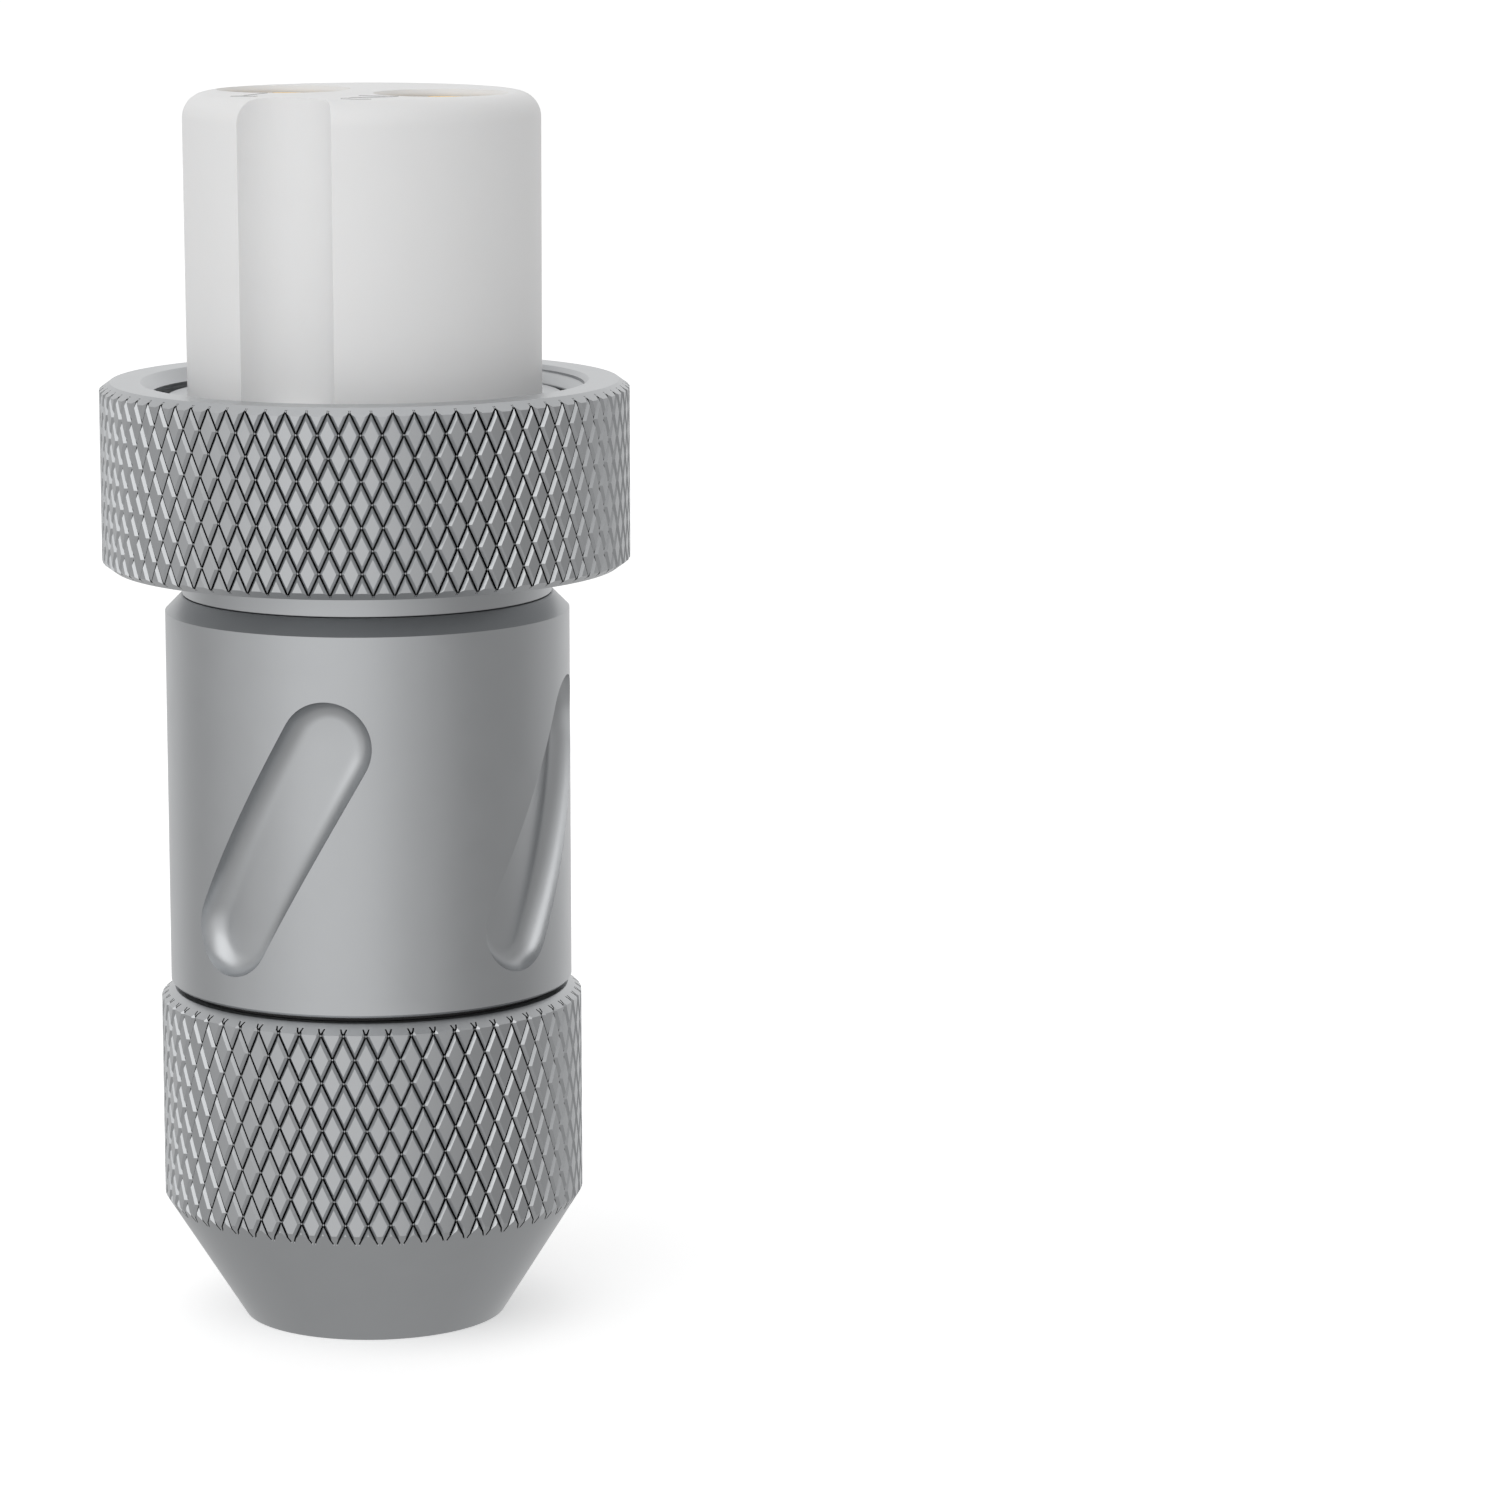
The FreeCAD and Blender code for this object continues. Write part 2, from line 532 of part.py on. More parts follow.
PIECES = {
    "insert": make_insert(),
    "insert_seal": make_insert_seal(),
    "insert_nut": make_insert_nut(),
    "rear_insulator": make_rear_insulator(),
    "contact_1": make_contact(-X_CONTACT, -1),
    "contact_2": make_contact(X_CONTACT, 1),
    "contact_clip_1": make_clip(-X_CONTACT, -1),
    "contact_clip_2": make_clip(X_CONTACT, 1),
    "contact_seal_1": make_contact_seal(-X_CONTACT),
    "contact_seal_2": make_contact_seal(X_CONTACT),
    "front_shell": make_front_shell(),
    "body_seal": make_body_seal(),
    "coupling_ring": make_coupling_ring(),
    "coupling_washer": make_coupling_washer(),
    "body_sleeve": make_body_sleeve(),
    "nut_seal": make_nut_seal(),
    "back_nut": make_back_nut(),
    "slip_washer": make_slip_washer(),
    "clamp_claw": make_clamp_claw(),
    "cable_grommet": make_cable_grommet(),
}

os.makedirs("parts", exist_ok=True)
for name, solid in PIECES.items():
    solid.exportStep(os.path.join("parts", name + ".step"))
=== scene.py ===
import logging
import math
from collections.abc import Iterator
from contextlib import contextmanager
from dataclasses import dataclass
from enum import Enum
from itertools import product

import bmesh
import bpy
from mathutils import Matrix, Vector


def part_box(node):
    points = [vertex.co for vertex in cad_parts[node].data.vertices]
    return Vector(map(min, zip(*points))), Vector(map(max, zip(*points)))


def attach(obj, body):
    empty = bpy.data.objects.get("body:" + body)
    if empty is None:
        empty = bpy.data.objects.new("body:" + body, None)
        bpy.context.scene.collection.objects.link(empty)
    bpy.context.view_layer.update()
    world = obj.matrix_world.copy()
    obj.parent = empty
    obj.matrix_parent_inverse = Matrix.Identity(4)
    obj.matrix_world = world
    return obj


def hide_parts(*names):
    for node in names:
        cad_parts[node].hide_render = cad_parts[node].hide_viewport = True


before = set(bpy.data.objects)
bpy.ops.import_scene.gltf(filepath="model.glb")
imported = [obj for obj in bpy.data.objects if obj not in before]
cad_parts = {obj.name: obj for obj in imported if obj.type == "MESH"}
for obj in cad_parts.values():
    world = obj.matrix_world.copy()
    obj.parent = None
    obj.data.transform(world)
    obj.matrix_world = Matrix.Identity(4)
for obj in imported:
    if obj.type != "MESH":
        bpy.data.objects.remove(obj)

MM = 0.001
AXIS = 1e-6
SAME_DIGITS = 5
SAME_POINT = 1e-4
CUT_SLIVER = 2e-4
NO_LENGTH = 1e-5
FACE_GAP = 0.03
CUTTER_REACH = 1.0
PITCH = 1.0
THREAD_DEPTH = 0.50
SCATTER_TINT = (1.0, 0.9, 0.8)
SCATTER_REACH = 0.4
NOISES_SPAN = {"From_Min": 0.6, "From_Max": 1.4}
SOFT_SHARE = 0.45
SMOOTH_UP_TO = math.radians(24.0)
ROUND_STEP = math.radians(15.0)

log = logging.getLogger("plug")

Spot = tuple[float, float]
Point = tuple[float, float, float]


class Body(Enum):
    """The bodies of the frame that the pieces ride on."""

    PLUG = "plug"
    RING = "coupling"
    RING_CARRIER = "coupling_carrier"
    NUT = "nut"
    NUT_CARRIER = "nut_carrier"


class Slot(Enum):
    """The record's material slots."""

    SHELL = "shell_grey"
    INSERT = "insert_white"
    CONTACT = "contact_gold"
    CLIP = "clip_steel"
    SEAL = "seal_rubber"
    WASHER = "washer_plastic"
    CLAW = "claw_plastic"


class Cut(Enum):
    """What a tool does to a blank."""

    AWAY = "DIFFERENCE"
    DOWN_TO = "INTERSECT"


class Side(Enum):
    """Which wall of a turned piece a thread is cut into."""

    BORE = 1
    OUTSIDE = -1


@dataclass(frozen=True)
class Corner:
    """A corner of a turned profile, in millimetres.

    Args:
        r: Distance from the axis.
        z: Height.
        soft: How far the edge is broken, 0 for a crisp one.
    """

    r: float
    z: float
    soft: float = 0.0


def softened(corners: list[Corner]) -> list[Spot]:
    """Breaks the edges of a closed profile with small arcs.

    Args:
        corners: The profile's corners in order.

    Returns:
        The points of the profile, as (radius, height).
    """
    points = []
    for before, here, after in zip(corners[-1:] + corners[:-1], corners, corners[1:] + corners[:1]):
        spot = Vector((here.r, here.z))
        back = Vector((before.r, before.z)) - spot
        ahead = Vector((after.r, after.z)) - spot
        if here.soft <= 0.0:
            points.append(tuple(spot))
            continue
        start = spot + back.normalized() * min(here.soft, SOFT_SHARE * back.length)
        end = spot + ahead.normalized() * min(here.soft, SOFT_SHARE * ahead.length)
        steps = max(2, math.ceil((math.pi - back.angle(ahead)) / ROUND_STEP))
        for k in range(steps + 1):
            t = k / steps
            points.append(tuple(start * (1 - t) ** 2 + spot * 2 * t * (1 - t) + end * t**2))
    return points


@contextmanager
def opened(mesh: bpy.types.Mesh) -> Iterator[bmesh.types.BMesh]:
    """Opens a mesh for changes and writes them back.

    Args:
        mesh: The mesh.

    Yields:
        The mesh's editable form.
    """
    work = bmesh.new()
    work.from_mesh(mesh)
    yield work
    work.to_mesh(mesh)
    work.free()


class Draft:
    """Points and faces of a piece in the making, in millimetres, with no point held twice."""

    def __init__(self) -> None:
        """Starts an empty draft."""
        self.points: list[Point] = []
        self.faces: list[tuple[int, ...]] = []
        self._seen: dict[Point, int] = {}

    def point(self, x: float, y: float, z: float) -> int:
        """Adds a point, or finds the one that lies there.

        Args:
            x: Place along X.
            y: Place along Y.
            z: Height.

        Returns:
            The point's number.
        """
        key = (round(x, SAME_DIGITS) + 0.0, round(y, SAME_DIGITS) + 0.0, round(z, SAME_DIGITS) + 0.0)
        if key not in self._seen:
            self._seen[key] = len(self.points)
            self.points.append((x, y, z))
        return self._seen[key]

    def polar(self, r: float, angle: float, z: float) -> int:
        """Adds a point by its distance from the axis, its angle and its height."""
        return self.point(r * math.cos(angle), r * math.sin(angle), z)

    def face(self, *corners: int) -> None:
        """Adds a face, leaving out repeated corners and faces that have shrunk to a line.

        Args:
            corners: The numbers of its points in order.
        """
        kept = tuple(dict.fromkeys(corners))
        if len(kept) > 2:
            self.faces.append(kept)

    def rings(self, rings: list[list[int]], closed: bool) -> None:
        """Joins rings of points, each to the next.

        Args:
            rings: Rings of equally many points.
            closed: Whether the last ring joins the first one.
        """
        following = rings[1:] + (rings[:1] if closed else [])
        for low, high in zip(rings, following):
            for k, spot in enumerate(low):
                n = (k + 1) % len(low)
                self.face(spot, low[n], high[n], high[k])

    def turn(self, profile: list[Spot], segments: int, start: float = 0.0, x: float = 0.0,
             closed: bool = True) -> None:
        """Sweeps a profile once round an upright axis.

        Args:
            profile: The points as (radius, height).
            segments: How many steps the sweep has.
            start: Angle of the first step.
            x: Where the axis stands along X.
            closed: Whether the profile's last point joins its first one.
        """
        rings = []
        for r, z in profile:
            angles = [start + 2 * math.pi * k / segments for k in range(segments)]
            reach = 0.0 if r < AXIS else r
            rings.append([self.point(x + reach * math.cos(a), reach * math.sin(a), z) for a in angles])
        self.rings(rings, closed)

    def solid(self, name: str) -> bpy.types.Object:
        """Makes the drafted piece as an object, still in millimetres.

        Args:
            name: The object's name.

        Returns:
            The new object, with its faces turned outwards.
        """
        mesh = bpy.data.meshes.new(name)
        mesh.from_pydata(self.points, [], self.faces)
        with opened(mesh) as work:
            bmesh.ops.remove_doubles(work, verts=work.verts, dist=SAME_POINT)
            bmesh.ops.recalc_face_normals(work, faces=work.faces)
        made = bpy.data.objects.new(name, mesh)
        bpy.context.scene.collection.objects.link(made)
        return made


def turned(name: str, corners: list[Corner], segments: int, start: float = 0.0,
           x: float = 0.0) -> bpy.types.Object:
    """Makes a turned solid from a closed profile.

    Args:
        name: The object's name.
        corners: The profile's corners in order.
        segments: How many steps it has round its axis.
        start: Angle of the first step.
        x: Where its axis stands along X.

    Returns:
        The new object, in millimetres.
    """
    draft = Draft()
    draft.turn(softened(corners), segments, start, x)
    return draft.solid(name)


def prism(name: str, outline: list[Spot], low: float, high: float) -> bpy.types.Object:
    """Makes an upright prism.

    Args:
        name: The object's name.
        outline: The corners of its outline in order.
        low: Height of its lower face.
        high: Height of its upper face.

    Returns:
        The new object, in millimetres.
    """
    draft = Draft()
    rings = [[draft.point(x, y, z) for x, y in outline] for z in (low, high)]
    draft.rings(rings, closed=False)
    for ring in rings:
        draft.face(*ring)
    return draft.solid(name)


def block(low: Point, high: Point, angle: float = 0.0, x: float = 0.0) -> bpy.types.Object:
    """Makes a cutting block.

    Args:
        low: Its lowest corner.
        high: Its highest corner.
        angle: How far it is turned about Z.
        x: How far it is moved along X afterwards.

    Returns:
        The new object, in millimetres.
    """
    square = [(low[0], low[1]), (high[0], low[1]), (high[0], high[1]), (low[0], high[1])]
    spun = [Matrix.Rotation(angle, 2) @ Vector(corner) for corner in square]
    return prism("block", [(spot.x + x, spot.y) for spot in spun], low[2], high[2])


def carve(blank: bpy.types.Object, tool: bpy.types.Object, cut: Cut) -> None:
    """Cuts a blank with a tool, which is used up.

    Args:
        blank: The object that is cut.
        tool: The cutting object.
        cut: Whether the tool's shape goes away or is all that stays.
    """
    step = blank.modifiers.new("cut", "BOOLEAN")
    step.solver = "MANIFOLD"
    step.operation = cut.value
    step.object = tool
    graph = bpy.context.evaluated_depsgraph_get()
    before = blank.data
    after = bpy.data.meshes.new_from_object(blank.evaluated_get(graph), depsgraph=graph)
    blank.modifiers.clear()
    blank.data = after
    if len(after.polygons) == len(before.polygons):
        raise RuntimeError(f"{blank.name}: the cut with {tool.name} left no mark")
    bpy.data.meshes.remove(before)
    bpy.data.objects.remove(tool, do_unlink=True)


def settle(piece: bpy.types.Object, body: Body, slot: Slot, finish: bpy.types.Material,
           *nodes: str) -> bpy.types.Object:
    """Brings a piece to metres, shades it, dresses it and puts it in its nodes' place.

    Args:
        piece: The finished shape, in millimetres.
        body: The body it rides on.
        slot: The record's slot that its finish stands for; not used.
        finish: Its material.
        nodes: The CAD nodes that it stands for.

    Returns:
        The piece.
    """
    mesh = piece.data
    with opened(mesh) as work:
        bmesh.ops.remove_doubles(work, verts=work.verts, dist=CUT_SLIVER)
        bmesh.ops.dissolve_degenerate(work, edges=work.edges, dist=NO_LENGTH)
    mesh.transform(Matrix.Scale(MM, 4))
    mesh.polygons.foreach_set("use_smooth", [True] * len(mesh.polygons))
    mesh.set_sharp_from_angle(angle=SMOOTH_UP_TO)
    mesh.materials.clear()
    mesh.materials.append(finish)
    mesh.update()
    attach(piece, body.value)
    if nodes:
        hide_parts(*nodes)
    log.info("%s: %d faces on %s", piece.name, len(mesh.polygons), body.value)
    return piece


def level(node: str, top: bool) -> float:
    """Reads the lowest or highest height of a CAD node.

    Args:
        node: The node's name.
        top: True for its highest point.

    Returns:
        The height in millimetres.
    """
    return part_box(node)[1 if top else 0].z / MM


def groove(node: str, play: float) -> Spot:
    """Works out the lowest and highest point of the groove that holds a CAD node.

    Args:
        node: The node's name.
        play: Room above and below the node.

    Returns:
        The two heights in millimetres.
    """
    return level(node, False) - play, level(node, True) + play


class NodeBench:
    """Lays out the shader nodes of one tree."""

    def __init__(self, tree: bpy.types.NodeTree) -> None:
        """Clears the tree and keeps it."""
        self.tree = tree
        tree.nodes.clear()

    def add(self, kind: str, **settings: object) -> bpy.types.Node:
        """Adds a node and sets its properties or its inputs by name.

        Args:
            kind: The node's type.
            settings: A value for each property or input, with spaces written as underscores. An
                output given for an input is joined to it.

        Returns:
            The new node.
        """
        node = self.tree.nodes.new(kind)
        for key, value in settings.items():
            if hasattr(node, key):
                setattr(node, key, value)
            elif isinstance(value, bpy.types.NodeSocket):
                self.link(value, node.inputs[key.replace("_", " ")])
            else:
                node.inputs[key.replace("_", " ")].default_value = value
        return node

    def link(self, start: bpy.types.NodeSocket, end: bpy.types.NodeSocket) -> None:
        """Joins an output to an input."""
        self.tree.links.new(start, end)

    def ramp(self, fac: bpy.types.NodeSocket, stops: tuple[Spot, ...]) -> bpy.types.NodeSocket:
        """Maps a value through grey stops.

        Args:
            fac: The value.
            stops: Places and grey levels.

        Returns:
            The mapped value's socket.
        """
        node = self.add("ShaderNodeValToRGB", Fac=fac)
        node.color_ramp.interpolation = "EASE"
        points = node.color_ramp.elements
        while len(points) < len(stops):
            points.new(0.5)
        for point, (place, grey) in zip(points, stops):
            point.position = place
            point.color = (grey, grey, grey, 1.0)
        return node.outputs["Color"]


def surface(name: str) -> tuple[bpy.types.Material, NodeBench, bpy.types.Node, bpy.types.Node]:
    """Starts a material on a plain surface shader.

    Args:
        name: The material's name.

    Returns:
        The material, its bench, its shader and the node that gives places on the object.
    """
    made = bpy.data.materials.new(name)
    made.use_nodes = True
    bench = NodeBench(made.node_tree)
    shader = bench.add("ShaderNodeBsdfPrincipled")
    bench.add("ShaderNodeOutputMaterial", Surface=shader.outputs["BSDF"])
    return made, bench, shader, bench.add("ShaderNodeTexCoord")


@dataclass(frozen=True)
class Grain:
    """An even grain.

    Args:
        cell: Size of its cells in millimetres.
        height: Its height in millimetres.
        strength: How strongly it shows.
    """

    cell: float
    height: float
    strength: float

    def lay(self, bench: NodeBench, shader: bpy.types.Node, places: bpy.types.Node) -> bpy.types.Node:
        """Adds the grain to a shader as fine relief.

        Args:
            bench: The material's bench.
            shader: The shader that takes the relief.
            places: The node that gives places on the object.

        Returns:
            The noise node, for colour and gloss that follow the grain.
        """
        noise = bench.add("ShaderNodeTexNoise", Vector=places.outputs["Object"],
                          Scale=1.0 / (self.cell * MM), Detail=3.0, Roughness=0.6)
        bump = bench.add("ShaderNodeBump", Height=noise.outputs["Fac"], Strength=self.strength,
                         Distance=self.height * MM)
        bench.link(bump.outputs["Normal"], shader.inputs["Normal"])
        return noise


@dataclass(frozen=True)
class Finish:
    """A finish whose tone and gloss drift a little over the surface.

    Args:
        name: The material's name.
        tone: Its mean colour.
        drift: Share by which the colour drifts.
        gloss: Lowest and highest roughness.
        metal: 1 for metal, 0 for the rest.
        patch: Size of the drifting patches in millimetres.
        grain: Its fine relief.
        scatter: Share of light that travels under the surface.
    """

    name: str
    tone: tuple[float, float, float]
    drift: float
    gloss: tuple[float, float]
    metal: float
    patch: float
    grain: Grain
    scatter: float = 0.0

    def material(self) -> bpy.types.Material:
        """Builds the finish's material.

        Returns:
            The material.
        """
        made, bench, shader, places = surface(self.name)
        shader.inputs["Metallic"].default_value = self.metal
        shader.inputs["Subsurface Weight"].default_value = self.scatter
        shader.inputs["Subsurface Radius"].default_value = SCATTER_TINT
        shader.inputs["Subsurface Scale"].default_value = SCATTER_REACH * MM
        fine = self.grain.lay(bench, shader, places)
        patches = bench.add("ShaderNodeTexNoise", Vector=places.outputs["Object"],
                            Scale=1.0 / (self.patch * MM), Detail=2.0, Roughness=0.5)
        mixed = bench.add("ShaderNodeMath", operation="ADD")
        bench.link(fine.outputs["Fac"], mixed.inputs[0])
        bench.link(patches.outputs["Fac"], mixed.inputs[1])
        gloss = bench.add("ShaderNodeMapRange", Value=mixed.outputs["Value"], To_Min=self.gloss[0],
                          To_Max=self.gloss[1], **NOISES_SPAN)
        bench.link(gloss.outputs["Result"], shader.inputs["Roughness"])
        share = bench.add("ShaderNodeMapRange", Value=mixed.outputs["Value"], **NOISES_SPAN)
        tone = bench.add("ShaderNodeMix", data_type="RGBA", Factor=share.outputs["Result"],
                         A=(*[c * (1 - self.drift) for c in self.tone], 1.0),
                         B=(*[min(1.0, c * (1 + self.drift)) for c in self.tone], 1.0))
        bench.link(tone.outputs["Result"], shader.inputs["Base Color"])
        return made


BLASTED = Finish("satin_aluminium", (0.520, 0.532, 0.544), 0.02, (0.32, 0.38), 1.0, 1.6,
                 Grain(0.045, 0.004, 0.25))
# Near-black painted shade for the faces of the knurl's narrow slots. It stands in for the shade deep in
# the grooves and is not a colour of the metal.
PAINTED_SLOT_SHADE = Finish("painted_slot_shade", (0.035, 0.036, 0.037), 0.10, (0.55, 0.65), 1.0, 0.6,
                Grain(0.030, 0.004, 0.30))
WHITE = Finish("moulded_white", (0.80, 0.80, 0.80), 0.008, (0.38, 0.46), 0.0, 2.5,
               Grain(0.060, 0.003, 0.12), 0.10)
GILT = Finish("gilt_contact", (1.0, 0.66, 0.17), 0.03, (0.08, 0.14), 1.0, 0.8,
              Grain(0.020, 0.001, 0.10))
STEEL = Finish("clip_steel", (0.55, 0.55, 0.56), 0.04, (0.25, 0.35), 1.0, 0.5,
               Grain(0.020, 0.002, 0.20))
RUBBER = Finish("seal_rubber", (0.018, 0.018, 0.019), 0.12, (0.50, 0.62), 0.0, 1.0,
                Grain(0.080, 0.008, 0.30))
NATURAL = Finish("washer_plastic", (0.72, 0.72, 0.68), 0.02, (0.40, 0.50), 0.0, 1.5,
                 Grain(0.060, 0.003, 0.15), 0.10)
DARK = Finish("claw_plastic", (0.045, 0.045, 0.048), 0.08, (0.42, 0.55), 0.0, 1.5,
              Grain(0.070, 0.006, 0.25))
INK = Finish("grey_ink", (0.215, 0.215, 0.218), 0.04, (0.05, 0.10), 0.0, 0.6,
             Grain(0.030, 0.001, 0.02))


class Paints:
    """The finishes, each made once."""

    def __init__(self) -> None:
        """Starts with nothing made."""
        self._made: dict[str, bpy.types.Material] = {}

    def of(self, finish: Finish) -> bpy.types.Material:
        """Gives a finish's material, made the first time it is asked for.

        Args:
            finish: The finish.

        Returns:
            Its material.
        """
        if finish.name not in self._made:
            self._made[finish.name] = finish.material()
        return self._made[finish.name]


@dataclass(frozen=True)
class Knurl:
    """A diamond knurl: two families of crossing V grooves with a narrow slot at their root.

    Args:
        radius: Radius of the lands.
        around: How many diamonds go round.
        period: Height of one diamond.
        row: Height of one row of crossings.
        turn: Angle of one crossing of the first row, in degrees.
        half_groove: Half the groove's width at the land.
        half_slot: Half the width of the slot at its root.
        half_core: Half the width of the core that is left standing in each crossing of two slots.
        shoulder: Depth at which the groove's flanks end, and of the cores.
        root: Depth of the slot's floor.
        floor_share: Width of the slot's floor as a share of the slot's.
        below: How far under the flanks a face has to lie to be the slot's.
        upright: How far the normal of a slot's face may lean out of the level, as its Z part.
    """

    radius: float
    around: int
    period: float
    row: float
    turn: float
    half_groove: float = 0.152
    half_slot: float = 0.040
    half_core: float = 0.025
    shoulder: float = 0.128
    root: float = 0.31
    floor_share: float = 0.85
    below: float = 0.004
    upright: float = 0.48

    def marks(self) -> tuple[list[float], list[float]]:
        """Works out where the groove's edges lie between two neighbouring roots.

        Returns:
            Their places as shares of the way across, and the depth at each.
        """
        steepness = math.hypot(self.around / (2 * math.pi * self.radius), 1 / self.period)
        groove, slot = self.half_groove * steepness, self.half_slot * steepness
        floor, core = self.floor_share * slot, self.half_core * steepness
        places = [0.0, core, floor, slot, groove, 0.5, 1 - groove, 1 - slot, 1 - floor, 1 - core]
        depths = [self.root] * 3 + [self.shoulder, 0.0, 0.0, 0.0, self.shoulder] + [self.root] * 2
        return places, depths

    def solid(self, low: float, high: float) -> bpy.types.Object:
        """Makes a solid bar with the knurled skin, longer than the band that it is cut for.

        Args:
            low: Lowest height that the skin has to reach.
            high: Highest height that the skin has to reach.

        Returns:
            The bar, in millimetres.
        """
        places, depths = self.marks()
        span = len(places)
        core = (0, 1, span - 1)
        draft = Draft()

        def spot(m: int, n: int) -> int:
            """Finds the point where a line of one family meets a line of the other.

            Args:
                m: Number of the one line.
                n: Number of the other.

            Returns:
                The point's number.
            """
            a = m // span + places[m % span]
            b = n // span + places[n % span]
            depth = max(depths[m % span], depths[n % span])
            if m % span in core and n % span in core:
                depth = self.shoulder
            angle = math.radians(self.turn) + math.pi * (a + b) / self.around
            return draft.polar(self.radius - depth, angle, self.row + (a - b) * self.period / 2)

        first = math.floor((low - self.row) / (self.period / 2)) - 1
        last = math.ceil((high - self.row) / (self.period / 2)) + 1
        for i in range(self.around):
            for row in range(first, last + 1):
                j = i - row
                for p, q in product(range(span), repeat=2):
                    m, n = i * span + p, j * span + q
                    ring = spot(m, n), spot(m + 1, n), spot(m + 1, n + 1), spot(m, n + 1)
                    self._patch(draft, ring, p == q, p == span - 1 - q)
        bar = draft.solid("knurl")
        self._close(bar, (low + high) / 2)
        return bar

    @staticmethod
    def _patch(draft: Draft, ring: tuple[int, int, int, int], rising: bool, falling: bool) -> None:
        """Adds one patch of the skin, creased where the flanks of two grooves meet.

        Args:
            draft: The draft that takes it.
            ring: Its four points.
            rising: Whether it is creased from its first point to its third.
            falling: Whether it is creased from its second point to its fourth.
        """
        a, b, c, d = ring
        if rising:
            draft.face(a, b, c)
            draft.face(a, c, d)
        elif falling:
            draft.face(a, b, d)
            draft.face(b, c, d)
        else:
            draft.face(a, b, c, d)

    def _close(self, bar: bpy.types.Object, middle: float) -> None:
        """Closes both ends of the skin on the axis.

        Args:
            bar: The open skin.
            middle: A height between its ends.
        """
        with opened(bar.data) as work:
            rim = [edge for edge in work.edges if len(edge.link_faces) == 1]
            heights = [vert.co.z for vert in work.verts]
            bottom, top = work.verts.new((0, 0, min(heights))), work.verts.new((0, 0, max(heights)))
            for edge in rim:
                pole = top if edge.verts[0].co.z > middle else bottom
                work.faces.new((edge.verts[0], edge.verts[1], pole))
            bmesh.ops.recalc_face_normals(work, faces=work.faces)

    def paint_slot_shade(self, piece: bpy.types.Object, low: float, high: float,
               finish: bpy.types.Material) -> None:
        """Paints shade on the slots at the grooves' roots: a near-black painted shade stands in for the
        shade deep in the narrow slots.

        Args:
            piece: The settled piece that wears the knurl.
            low: Lowest height of the band.
            high: Highest height of the band.
            finish: The material of the painted shade in the slots.
        """
        piece.data.materials.append(finish)
        floor = (self.radius - self.root - 5 * self.below) * MM
        mouth = (self.radius - self.shoulder - self.below) * MM
        # Faces deep in the slots, within the band, get the painted shade.
        for face in piece.data.polygons:
            r = math.hypot(face.center.x, face.center.y)
            in_band = low * MM < face.center.z < high * MM
            if in_band and floor < r < mouth and abs(face.normal.z) < self.upright:
                face.material_index = 1


@dataclass(frozen=True)
class Thread:
    """A screw thread cut into a turned wall, running out at both ends.

    Args:
        side: The wall that it is cut into.
        wall: Radius of the wall before cutting.
        depth: Depth of the groove.
        pitch: Rise for each turn.
        low: Height of the first turn's middle.
        high: Height of the last turn's middle.
        start: Angle at which the first turn begins, in degrees.
        steps: Steps for each turn.
        air: How far the cutter stands out of the wall, for each millimetre of pitch.
        half_mouth: Half the groove's width at its mouth, for each millimetre of pitch.
        half_root: Half its width at the root, for each millimetre of pitch.
        fade: Share of a turn over which the groove runs out.
        least: Half the root's width where the groove has run out.
    """

    side: Side
    wall: float
    depth: float
    pitch: float
    low: float
    high: float
    start: float = 0.0
    steps: int = 96
    air: float = 0.12
    half_mouth: float = 0.46
    half_root: float = 0.09
    fade: float = 1 / 3
    least: float = 0.005

    def tool(self) -> bpy.types.Object:
        """Makes the cutter that leaves the thread's groove.

        Returns:
            The cutter, in millimetres.
        """
        draft = Draft()
        count = round((self.high - self.low) / self.pitch * self.steps)
        air = self.air * self.pitch
        mouth = self.wall - self.side.value * air
        rings = []
        for k in range(count + 1):
            share = min(1.0, (min(k, count - k) + 1) / (self.fade * self.steps))
            angle = math.radians(self.start) + 2 * math.pi * k / self.steps
            z = self.low + self.pitch * k / self.steps
            root = mouth + self.side.value * (self.depth + air) * share
            wide = self.half_mouth * self.pitch * share + 2 * self.least
            flat = self.half_root * self.pitch * share + self.least
            section = [(mouth, z - wide), (mouth, z + wide), (root, z + flat), (root, z - flat)]
            rings.append([draft.polar(r, angle, h) for r, h in section])
        draft.rings(rings, closed=False)
        draft.face(*rings[0])
        draft.face(*rings[-1])
        return draft.solid("thread")


